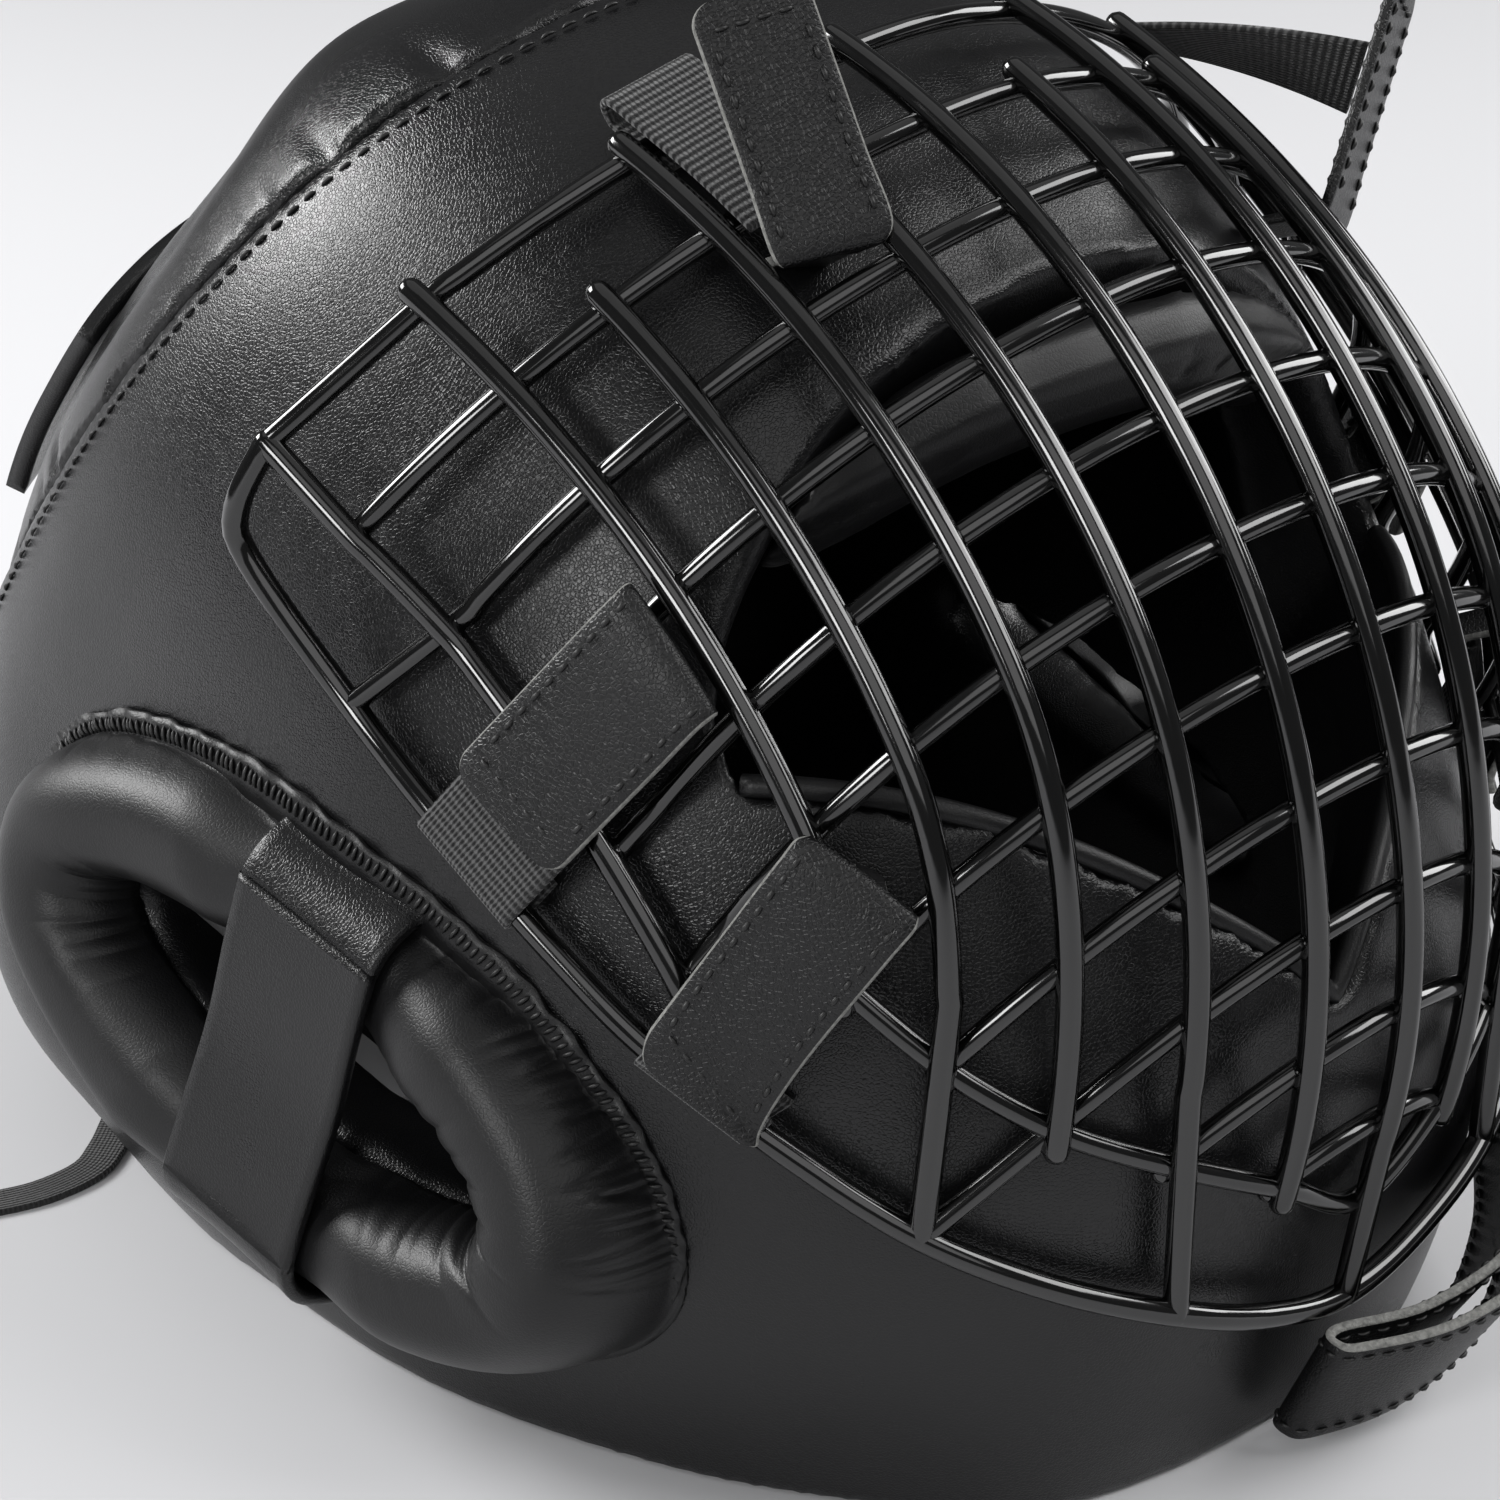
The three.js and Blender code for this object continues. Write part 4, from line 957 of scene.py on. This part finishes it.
def ear_flange(seed):
    """Cut edge of the ring's leather, lying on the wall outside the roll, a little uneven."""
    draw = np.random.default_rng(seed)
    a = np.linspace(0, 2 * np.pi, 420, endpoint=False)
    ragged = np.interp(a, np.linspace(0, 2 * np.pi, 90), draw.normal(0, 0.35, 90), period=2 * np.pi)
    outermost = FLANGE_ACROSS == FLANGE_ACROSS[-1]
    grow = EAR["width"] + FLANGE_ACROSS[None] + ragged[:, None] * outermost[None]
    back = (EAR["half_long"] + grow) * np.cos(a)[:, None]
    up = (EAR["half_tall"] + grow) * np.sin(a)[:, None]
    flat = ear_point(back, up, 0.0)
    ripple = 0.35 * np.sin(a * 61)[:, None] * (FLANGE_ACROSS[None] > 1)
    return stand_off(flat, FLANGE_UP + ripple)


def flange_walls(top, thickness):
    """Closed strip from its upper face: a lower face a thickness below it, joined along both edges."""
    normal = leather_normal(top)
    low = top - normal * thickness
    return np.concatenate([top, low[:, ::-1]], axis=1)


# %% Overlock thread and both ears
EDGE_PITCH = 1.5
EDGE_THREAD = 0.36


def overlock(flange):
    """Thread loops over the flange's cut edge: one stitch straight across it at every pitch."""
    inner, outer = flange[:, 1], flange[:, 2]
    along = lengths_along(outer)
    middle = np.arange(0, along[-1], EDGE_PITCH)
    at = lambda values: np.stack([np.interp(middle, along, values[:, k]) for k in range(3)], -1)
    normal = leather_normal(at(outer))
    start = at(inner) + normal * 0.3
    end = at(outer) + normal * 0.1 + unit(at(outer) - at(inner)) * 0.5
    return start, end, normal, EDGE_THREAD


for side, other in (("right", False), ("left", True)):
    seed = 21 + other
    turn = mirrored if other else np.asarray
    roll = ear_ring(seed)
    ring = new_piece("ear_roll_" + side, turn(roll.reshape(-1, 3)),
                     grid_faces(*roll.shape[:2], True, True).tolist(), [SOFT_LEATHER])
    enlist(ring, "soft_leather", "ear_ring_" + side)
    edge = ear_flange(seed)
    strip = flange_walls(edge, FLANGE_THICK)
    flange = new_piece("ear_flange_" + side, turn(strip.reshape(-1, 3)),
                       grid_faces(*strip.shape[:2], True, True).tolist(), [SOFT_LEATHER])
    enlist(flange, "soft_leather")
    start, end, out, radius = overlock(edge)
    sew("ear_overlock_" + side, [(turn(start), turn(end), turn(out), radius)], "soft_leather")
print("ear rings: 2")

# %% [markdown]
# ## Ear bridges
#
# A wide leather strap crosses each ear ring and pulls down over both flanks of the roll. It is a flat band
# with turned edges: a profile carried along a path that climbs one flank, crosses the hole and comes down the
# other flank.

# %% Bridges
def ear_bridge():
    """Band over the roll: a quarter oval up, straight across, a quarter oval down."""
    top = EAR["proud"] - PRESS["deep"] + GAP + BRIDGE["thick"] / 2
    side = EAR["width"] - PRESS["deep"] + GAP + BRIDGE["thick"] / 2
    b = np.linspace(0, np.pi / 2, 26)
    flank, crest = side * squarish(np.cos(b)), top * squarish(np.sin(b))
    back = np.concatenate([-EAR["half_long"] - flank, EAR["half_long"] + flank[::-1]])
    out = np.concatenate([crest, crest[::-1]]) - EAR["sunk"]
    path = evenly(np.stack([back, out], -1), 1.5)
    sag = BRIDGE["sag"] * np.exp(-(path[:, 0] / 14) ** 2)
    rail = lambda shift: ear_point(path[:, 0], BRIDGE["up"] + shift, path[:, 1] - sag)
    half = BRIDGE["width"] / 2
    points, _, _ = band_from(rail(-half), rail(half), BRIDGE["thick"], bulge=-0.5, edge_steps=4,
                             flat_steps=14)
    return above_leather(points, BRIDGE["clear"])


for side, other in (("right", False), ("left", True)):
    turn = mirrored if other else np.asarray
    points = ear_bridge()
    bridge = new_piece("ear_bridge_strap_" + side, turn(points.reshape(-1, 3)), capped(points),
                       [SHELL_LEATHER])
    enlist(bridge, "matte_leather", "ear_bridge_" + side)
print("ear bridges: 2")

# %% [markdown]
# ## The grille
#
# The net is welded from round steel wire and dipped in black vinyl. Bars run over the face from brow to
# chin and lie in front; rungs run from cheek to cheek behind them. A law of two numbers, the bar and the
# rung, gives every place on the net. Each wire is a round profile carried along its own path, and a small
# bead of weld under the coating fills every crossing.

# %% The law of the net
# Radius of the bars and rim, and of the thinner rungs and chin wire
WIRE = 2.0
RUNG_WIRE = 1.75
BAR_PITCH = 18.0
RUNG_PITCH = 19.1
BAR = {"up": 32.7, "front": -91.6, "first_slope": -17.7, "turn": 92.2, "rungs": 11, "power": 1.09}
RUNG = {"turn": 51.1, "more_turn": 43.4, "bulge": 39.4, "power": 0.75, "more_power": 0.74}
CHIN_FLARE = {"from": 0.5, "back": 782.0, "down": 18.0}
HALF_BARS = 6
STEPS = 24
MIDDLES = np.arange(STEPS) + 0.5


def middle_bar(rung):
    """Forward and up of the middle bar: its slope turns steadily from the brow to under the chin."""
    step = (np.asarray(rung, float)[..., None] - 1) / STEPS
    along = np.maximum(0, 1 + MIDDLES * step)
    slope = np.radians(BAR["first_slope"] + BAR["turn"] * (along / BAR["rungs"]) ** BAR["power"])
    return (BAR["front"] + (np.sin(slope) * RUNG_PITCH * step).sum(-1),
            BAR["up"] - (np.cos(slope) * RUNG_PITCH * step).sum(-1))


def net(bar, rung):
    """Place on the net at a bar counted from the middle and a rung counted from the top."""
    bar, rung = np.broadcast_arrays(np.asarray(bar, float), np.asarray(rung, float))
    t = rung / 10
    turn = np.radians(RUNG["turn"] + RUNG["more_turn"] * t + RUNG["bulge"] * t * (1 - t))
    power = RUNG["power"] + RUNG["more_power"] * t
    forward, up = middle_bar(rung)
    step = (np.abs(bar) / STEPS)[..., None]
    angle = turn[..., None] * (MIDDLES * step / HALF_BARS) ** power[..., None]
    x = (np.cos(angle) * BAR_PITCH * step).sum(-1)
    forward = forward + (np.sin(angle) * BAR_PITCH * step).sum(-1)
    low = np.maximum(0, t - CHIN_FLARE["from"]) ** 2
    share = (bar / HALF_BARS) ** 2
    return np.stack([np.sign(bar) * x, forward + CHIN_FLARE["back"] * low * share,
                     up - CHIN_FLARE["down"] * low * share], -1)


def net_outward(bar, rung):
    """Direction out of the net, from two small steps along it."""
    d = 0.05
    down = net(bar, np.add(rung, d)) - net(bar, np.subtract(rung, d))
    across = net(np.add(bar, d), rung) - net(np.subtract(bar, d), rung)
    return unit(np.cross(down, across))


# %% The rim
RIM_STAND = 4.1
RIM = np.array([
    # side, back, up
    (98.5, -25.6, 50.2),
    (102, -15.5, 47.5),
    (101, -9, 42),
    (94, -2, 18),
    (92, -2, -6),
    (90, -2, -30),
    (84, -1, -48),
    (74, -1, -70),
    (64, -1, -88),
    (50, 0, -101),
    (34, 2, -112),
    (17, 5, -121),
    (0, 7, -125),
], float)


def clear_of_leather(points, least=RIM_STAND):
    """Points of the net lifted to the rim's height above the leather where they lie lower."""
    return above_leather(np.asarray(points, float), least)


rim_right = clear_of_leather(RIM * (-1, 1, 1))
rim_right[-1, 0] = 0
rim_way = np.concatenate([rim_right, mirrored(rim_right[-2::-1])])
print("rim: %.0f mm" % lengths_along(rim_way)[-1])

# %% Wires and weld beads
SIDE_BAR = 6.76
CHIN_MIDDLE = 10.8
BAR_LIFT = 0.95
RUNG_LIFT = -0.95
WIRE_SIDES = 12
WIRE_STEP = 2.2
BEAD_RADII = (2.2, 2.2, 2.1)


def wire(path, radius=WIRE):
    """Round wire along a path: rings turned without twist, closed by a domed end at each side."""
    path = evenly(path, WIRE_STEP)
    run = unit(np.gradient(path, axis=0))
    side = np.empty_like(path)
    first = np.cross(run[0], (0.3, 0.5, 0.8))
    side[0] = first / np.linalg.norm(first)
    for k in range(1, len(path)):
        s = side[k - 1] - run[k] * (side[k - 1] @ run[k])
        side[k] = s / np.linalg.norm(s)
    up = np.cross(run, side)
    dome = np.array([(-0.95, 0.3), (-0.75, 0.66), (-0.4, 0.92)])
    centre = np.concatenate([path[:1] + run[:1] * dome[:, :1] * radius, path,
                             path[-1:] - run[-1:] * dome[::-1, :1] * radius])
    pick = np.concatenate([np.zeros(3, int), np.arange(len(path)), np.full(3, len(path) - 1)])
    size = radius * np.concatenate([dome[:, 1], np.ones(len(path)), dome[::-1, 1]])
    a = np.linspace(0, 2 * np.pi, WIRE_SIDES, endpoint=False)
    return (centre[:, None] + (side[pick][:, None] * np.cos(a)[None, :, None]
                               + up[pick][:, None] * np.sin(a)[None, :, None]) * size[:, None, None])


def net_path(bar, rung, lift):
    """Path over the net at arrays of bars and rungs, lifted in front of or behind it."""
    points = net(bar, rung) + net_outward(bar, np.minimum(rung, 10)) * lift
    return clear_of_leather(points, RIM_STAND - 1 + lift)


# Bars from the middle outwards: first rung, last rung and the rim point they run on to
BARS = [(0, 1, CHIN_MIDDLE, 12), (1, 0, 10, None), (2, 1, 9, 10),
        (3, 0, 8, None), (4, 1, 7, 8), (5, 0, 6, None)]
# Rungs from the top: the outermost bar they reach and the rim point they run on to
RUNGS = [(5, 0), (SIDE_BAR, None), (SIDE_BAR, 3), (SIDE_BAR, None), (SIDE_BAR, None), (SIDE_BAR, None),
         (5, None), (4, None), (3, 8), (2, None), (1, None)]
OVERRUN = 0.09
wires = [wire(rim_way)]
for bar, first, last, rim_point in BARS:
    for side in (-1, 1) if bar else (1,):
        end = last if rim_point is not None else last + OVERRUN
        rung = np.linspace(first - OVERRUN, end, 40)
        path = net_path(np.full(40, side * bar), rung, BAR_LIFT)
        if rim_point is not None:
            rim_end = rim_right[rim_point] * (-side, 1, 1) if bar else rim_right[rim_point]
            path = np.concatenate([path[:-2], [rim_end]])
        wires.append(wire(path))
for side in (-1, 1):
    rung = np.linspace(1, 5 + OVERRUN, 30)
    path = net_path(np.full(30, side * SIDE_BAR), rung, BAR_LIFT)
    wires.append(wire(np.concatenate([[rim_right[0] * (-side, 1, 1)], path])))
for rung, (reach, rim_point) in enumerate(RUNGS):
    over = 0.08
    bars = np.linspace(-reach - over, reach + over, 60)
    path = net_path(bars, np.full(60, float(rung)), RUNG_LIFT)
    if rim_point is not None:
        path = np.concatenate([[rim_right[rim_point]], path[1:-1], [mirrored(rim_right[rim_point])]])
    wires.append(wire(path, RUNG_WIRE))
chin_bars = np.array([-5, -4, -3, -2, -1, 0, 1, 2, 3, 4, 5], float)
chin_rungs = np.where(chin_bars == 0, CHIN_MIDDLE, 11 - np.abs(chin_bars))
wires.append(wire(clear_of_leather(net(chin_bars, chin_rungs), RIM_STAND - 1), RUNG_WIRE))

crossings = [(side * bar, rung) for rung, (reach, _) in enumerate(RUNGS)
             for bar, first, last, _ in BARS if first <= rung <= last and bar <= reach
             for side in ((-1, 1) if bar else (1,))]
crossings += [(side * SIDE_BAR, rung) for rung in range(1, 6) for side in (-1, 1)]
crossings = np.array(crossings, float)


def beads(places, outward, radii):
    """Weld beads: flattened balls of 8 by 5 faces at the crossings."""
    east = unit(np.cross(outward, (0.0, 0.0, 1.0)))
    north = np.cross(outward, east)
    lat = np.linspace(-1.25, 1.25, 6)
    lon = np.linspace(0, 2 * np.pi, 8, endpoint=False)
    ball = np.stack([np.outer(np.cos(lat), np.cos(lon)),
                     np.outer(np.cos(lat), np.sin(lon)),
                     np.outer(np.sin(lat), np.ones(8))], -1) * radii
    frames = np.stack([east, north, outward], 1)
    return places[:, None, None] + np.einsum("abk,nkj->nabj", ball, frames)


bead_places = clear_of_leather(net(*crossings.T), RIM_STAND - 1)
bead_grids = beads(bead_places, net_outward(*crossings.T), BEAD_RADII)
points, faces, start = [], [], 0
for grid in wires + list(bead_grids):
    points.append(grid.reshape(-1, 3))
    faces += (np.array(grid_faces(*grid.shape[:2], False, True)) + start).tolist()
    ring = np.arange(grid.shape[1])
    faces += [(ring[::-1] + start).tolist(), (ring + start + (grid.shape[0] - 1) * grid.shape[1]).tolist()]
    start += grid.shape[0] * grid.shape[1]
grille = new_piece("grille_wires", np.concatenate(points), faces, [COATING])
enlist(grille, "coated_steel", "grille")
print("wires:", len(wires), "beads:", len(crossings), "faces:", len(faces))

# %% [markdown]
# ## Straps and tapes
#
# Leather straps tie the net to the shell. Each comes up through an opening of the net, folds above the wires
# and closes over a ribbed tape that loops round the rim. The two at the brow hang open, as in the photograph.
# A strap is a flat profile carried between two rails; its faces are pebbled leather and its cut edges are
# pale split hide, apart from the far top strap, whose edges are dark.

# %% Strap rails
LEATHER = 1.6
TAPE = 1.2
CAD_WIRE = 1.65
STRAP_FOOT = 0.45
STRAP_LOW = LEATHER / 2 + 0.5
STRAP_HIGH = 6.0
TAPE_LOOP = CAD_WIRE + GAP + TAPE / 2
TAPE_RISE = TAPE_LOOP + 0.6
TAPE_NEAR = 0.3
HANDOVER = 5.6
AT_RIM = 7.0


def rim_at(up):
    """Point of the right rim at a height, below its upper bend."""
    low = rim_right[2:]
    return np.array([np.interp(-up, -low[:, 2], low[:, k]) for k in range(3)])


def over_net(bar, rung, height):
    """Place over the right half of the net; beyond the last bar it leads over to the rim."""
    near = min(bar, HANDOVER)
    place = net(-near, rung)
    outward = net_outward(-near, rung)
    if bar > HANDOVER:
        share = (bar - HANDOVER) / (AT_RIM - HANDOVER)
        end = rim_at(place[2])
        place = place + (end - place) * share
        outward = unit(outward + (leather_normal(end) - outward) * share)
    return place + outward * height


# Bar and rung of the two edges of each closed strap: where it comes through, folds, ends, and of its tape
CLOSED_STRAPS = {
    "middle": {"neck": [(6.05, 3.2), (6.05, 3.8)], "fold": [(5.2, 2.8), (5.15, 3.93)],
               "end": [(6.62, 2.8), (6.57, 3.93)], "tape": [(6.35, 2.85), (6.35, 3.9)]},
    "lower": {"neck": [(4.8, 5.45), (4.5, 5.75)], "fold": [(4.95, 5.0), (4.2, 6.0)],
              "end": [(6.95, 5.25), (6.75, 6.45)], "tape": [(6.3, 5.3), (6.1, 6.35)]},
}


def between(start, end, share):
    """Place at a share of the way from a start to an end."""
    return np.add(start, np.subtract(end, start) * share)


def closed_rails(row):
    """Two rails of a closed strap: up through the net, round the fold and out to the end."""
    rails = []
    for n in (0, 1):
        neck, fold, end = row["neck"][n], row["fold"][n], row["end"][n]
        start = over_net(*neck, 0)
        rails.append(np.array([
            stand_off(start, STRAP_LOW),
            over_net(*neck, -1),
            over_net(*between(neck, fold, 0.15), 2.6),
            over_net(*between(neck, fold, 0.6), 3.2),
            over_net(*fold, 4.5),
            over_net(*between(fold, end, 0.1), STRAP_HIGH),
            over_net(*between(fold, end, 0.4), STRAP_HIGH + 0.3),
            over_net(*between(fold, end, 0.7), STRAP_HIGH + 0.2),
            over_net(*end, STRAP_HIGH),
        ]))
    return rails


def rim_tape_rails(row):
    """Two rails of a tape: over the rim, round it and back under it."""
    rails = []
    for n in (0, 1):
        bar, rung = row["tape"][n]
        centre = rim_at(net(-HANDOVER, rung)[2])
        outward = leather_normal(centre)
        away = centre - over_net(bar, rung, 0)
        away = unit(away - outward * (away @ outward))
        turn = np.linspace(0, np.pi, 9)[:, None]
        loop = centre + outward * TAPE_LOOP * np.cos(turn) + away * TAPE_LOOP * np.sin(turn)
        tail = stand_off(centre - away * 6, RIM_STAND - TAPE_LOOP)
        lead = [over_net(bar, rung, TAPE_RISE), over_net((bar + AT_RIM) / 2, rung, TAPE_RISE)]
        rails.append(np.concatenate([lead, loop, [tail]]))
    return rails


# The two open straps: edges as bars, narrow neck, rungs of the fold and the way the flap points
TOP_RIGHT = {"bars": (2.88, 2.0), "necks": (2.75, 2.25), "rungs": (1.5, 1.75), "flap": (0, -15.7, 32.5)}
TOP_LEFT = {"bars": (3.9, 3.1), "necks": (3.75, 3.25), "rungs": (2.28, 2.28), "flap": (-19, -25, 22)}


def open_rails(row):
    """Two rails of an open strap on the right side: up through the net, a fold, and a free flap."""
    rails = []
    for n in (0, 1):
        over = lambda bar, rung, height: net(-bar, rung) + net_outward(-bar, rung) * height
        neck, rung = row["necks"][n], row["rungs"][n]
        fold = over(row["bars"][n], rung + 0.08, 3.4)
        flap = np.array(row["flap"], float)
        rails.append(np.array([
            stand_off(over(neck, rung - 0.25, 0), STRAP_FOOT),
            over(neck, rung - 0.05, -1.5),
            over(neck, rung + 0.05, 1.2),
            fold, fold + flap * 0.3, fold + flap * 0.65, fold + flap,
        ]))
    return rails


def top_tape_right_rails():
    """Hairpin of tape over the top rung."""
    loop = TAPE_LOOP + 0.2
    way = np.array([(1.25, 1), (0.6, 1), (-0.1, 1), (-0.4, 1), (-0.5, 0.6),
                    (-0.53, 0), (-0.5, -0.6), (-0.4, -1), (0.2, -1)])
    return [net(-bar, way[:, 0]) + net_outward(-bar, way[:, 0]) * (way[:, 1:] * loop) for bar in (2.85, 2.05)]


def top_tape_left_rails():
    """Free tape on the left: from the top rung it bows over to the flap that stands out from the net."""
    bow = np.array([0.3, -0.6, 0.8])
    share = np.linspace(0, 1, 7)[:, None]
    rails = []
    for bar, end in ((3.9, (75.5, -76.2, 22.5)), (3.1, (70.5, -91.2, 24.2))):
        start = net(bar, 0) + net_outward(bar, 0) * (TAPE_LOOP - TAPE_NEAR)
        rails.append(start + (end - start) * share + bow * 4 * share * (1 - share))
    return rails


# %% Bands of leather and tape
STITCH_INSET = 2.2
STRAP_CORNER = 3.5
STRAP_BULGE = 0.4
STRAP_STITCH = {"pitch": 3.1, "length": 2.2, "radius": 0.42}
# Rows of the band at which the sewn flap starts, on closed straps, open straps and the chin strap
CLOSED_FLAP = 36
OPEN_FLAP = 26
CHIN_FLAP = 4


def fine(rail):
    """Smoothed rail: eight steps from point to point, and closer steps towards its end."""
    last = len(rail) - 1
    near_end = last - 0.5 * np.linspace(1, 0, 19)[1:] ** 2
    return smooth_rows(rail, np.concatenate([np.linspace(0, last - 0.5, 8 * last - 3), near_end]))


def round_end(rail_a, rail_b, radius):
    """Two rails drawn together at their end, so that the strap's corners follow a quarter circle."""
    left = lengths_along(((rail_a + rail_b) / 2)[::-1])[::-1]
    inset = radius - np.sqrt(radius**2 - np.clip(radius - left, 0, radius) ** 2)
    shift = unit(rail_b - rail_a) * inset[:, None]
    return rail_a + shift, rail_b - shift


def strap_piece(name, rails, node, thickness, finishes, slot, bulge=0.0, corner=0.0):
    """Band between two smoothed rails, with rounded corners and, given two finishes, its own cut edges."""
    rail_a, rail_b = fine(rails[0]), fine(rails[1])
    if corner:
        rail_a, rail_b = round_end(rail_a, rail_b, corner)
    points, up, edge = band_from(rail_a, rail_b, thickness, bulge, edge_steps=3, flat_steps=12)
    rows = len(points) - 1
    looks = np.concatenate([np.tile(edge, rows), [True, True]]).astype(int) if len(finishes) > 1 else None
    piece = new_piece(name, points.reshape(-1, 3), capped(points), finishes, looks, profile_map(points))
    enlist(piece, slot, node)
    return rail_a, rail_b, up


def hem(rail_a, rail_b, up, thickness, first):
    """Stitch rows of a flap: along both edges and across the end, from a row of the band onwards."""
    to_end = lengths_along(((rail_a + rail_b) / 2)[::-1])[::-1]
    keep = (np.arange(len(to_end)) >= first) & (to_end > STITCH_INSET + STRAP_CORNER / 2)
    a, b, up = rail_a[keep], rail_b[keep], up[keep]
    across = unit(b - a)
    rows = []
    for face in (1, -1):
        out = up * face
        skin = out * (thickness / 2 + 0.05)
        left = a + across * STITCH_INSET + skin
        right = b - across * STITCH_INSET + skin
        end = np.linspace(left[-1], right[-1], 12)
        end_out = np.repeat(out[-1:], len(end), 0)
        for path, away in ((left, out), (right, out), (end, end_out)):
            rows.append(sewn_row(path, away, **STRAP_STITCH))
    return rows


STRAP_FINISH = [STRAP_LEATHER, RAW_EDGE]
strap_rows = []
for side, other in (("right", False), ("left", True)):
    turn = mirrored if other else np.asarray
    for place, row in CLOSED_STRAPS.items():
        rails = [turn(r) for r in closed_rails(row)]
        where = "%s_%s" % (place, side)
        a, b, up = strap_piece("strap_" + where, rails, "grille_strap_" + where, LEATHER, STRAP_FINISH,
                               "strap_leather", bulge=STRAP_BULGE if other else -STRAP_BULGE,
                               corner=STRAP_CORNER)
        strap_rows += hem(a, b, up, LEATHER, CLOSED_FLAP)
        rails = [turn(r) for r in rim_tape_rails(row)]
        strap_piece("tape_" + where, rails, "strap_tape_" + where, TAPE, [RIBBED_TAPE], "woven_tape")
OPEN_STRAPS = [("right", TOP_RIGHT, top_tape_right_rails()), ("left", TOP_LEFT, top_tape_left_rails())]
for side, row, tape in OPEN_STRAPS:
    turn = mirrored if side == "left" else np.asarray
    rails = [turn(r) for r in open_rails(row)]
    finish = STRAP_FINISH if side == "right" else [STRAP_LEATHER]
    a, b, up = strap_piece("strap_top_" + side, rails, "grille_strap_top_" + side, LEATHER, finish,
                           "strap_leather", corner=STRAP_CORNER)
    strap_rows += hem(a, b, up, LEATHER, OPEN_FLAP)
    strap_piece("tape_top_" + side, tape, "strap_tape_top_" + side, TAPE, [RIBBED_TAPE], "woven_tape")
sew("strap_stitches", strap_rows, "strap_leather")
print("strap stitch rows:", len(strap_rows))

# %% [markdown]
# ## Chin strap
#
# A doubled leather strap is sewn to the left jaw. It has sprung open, and its fold lies in front of the chin.
# Its places are given as it lies: across, forward and above the floor.

# %% Chin strap
CHIN_STRAP = np.array([
    # across, forward, low, lean
    (-3, -95, 4, 9),
    (10, -100, 6, 11),
    (28, -100, 10, 13),
    (47, -92, 15, 13),
    (62, -80, 19, 12),
    (72, -68, 22, 10),
], float)
CHIN_STRAP_TALL = 21.0
CHIN_STRAP_LOOP = 3.0


def chin_layer(rows, away):
    """Lower and upper edge of one layer, a distance in front of or behind the middle of the fold."""
    across, forward, low, lean = np.atleast_2d(rows).T
    return (on_floor(across, forward - away, low),
            on_floor(across, forward - lean - away, low + CHIN_STRAP_TALL))


outer_low, outer_high = chin_layer(CHIN_STRAP[::-1], CHIN_STRAP_LOOP)
inner_low, inner_high = chin_layer(CHIN_STRAP[:-1], -CHIN_STRAP_LOOP)
tip_low, tip_high = chin_layer(CHIN_STRAP[0] - (CHIN_STRAP_LOOP, 0, 0, 0), 0)
outer_low[0] = stand_off(outer_low[0], STRAP_LOW)
outer_high[0] = stand_off(outer_high[0], STRAP_LOW)
chin_rails = [np.concatenate([outer_low, tip_low, inner_low]),
              np.concatenate([outer_high, tip_high, inner_high])]
a, b, up = strap_piece("chin_strap_leather", chin_rails, "chin_strap", LEATHER, STRAP_FINISH, "strap_leather")
chin_rows = hem(a, b, up, LEATHER, CHIN_FLAP)
sew("chin_strap_stitches", chin_rows, "strap_leather")
print("chin strap stitch rows:", len(chin_rows))
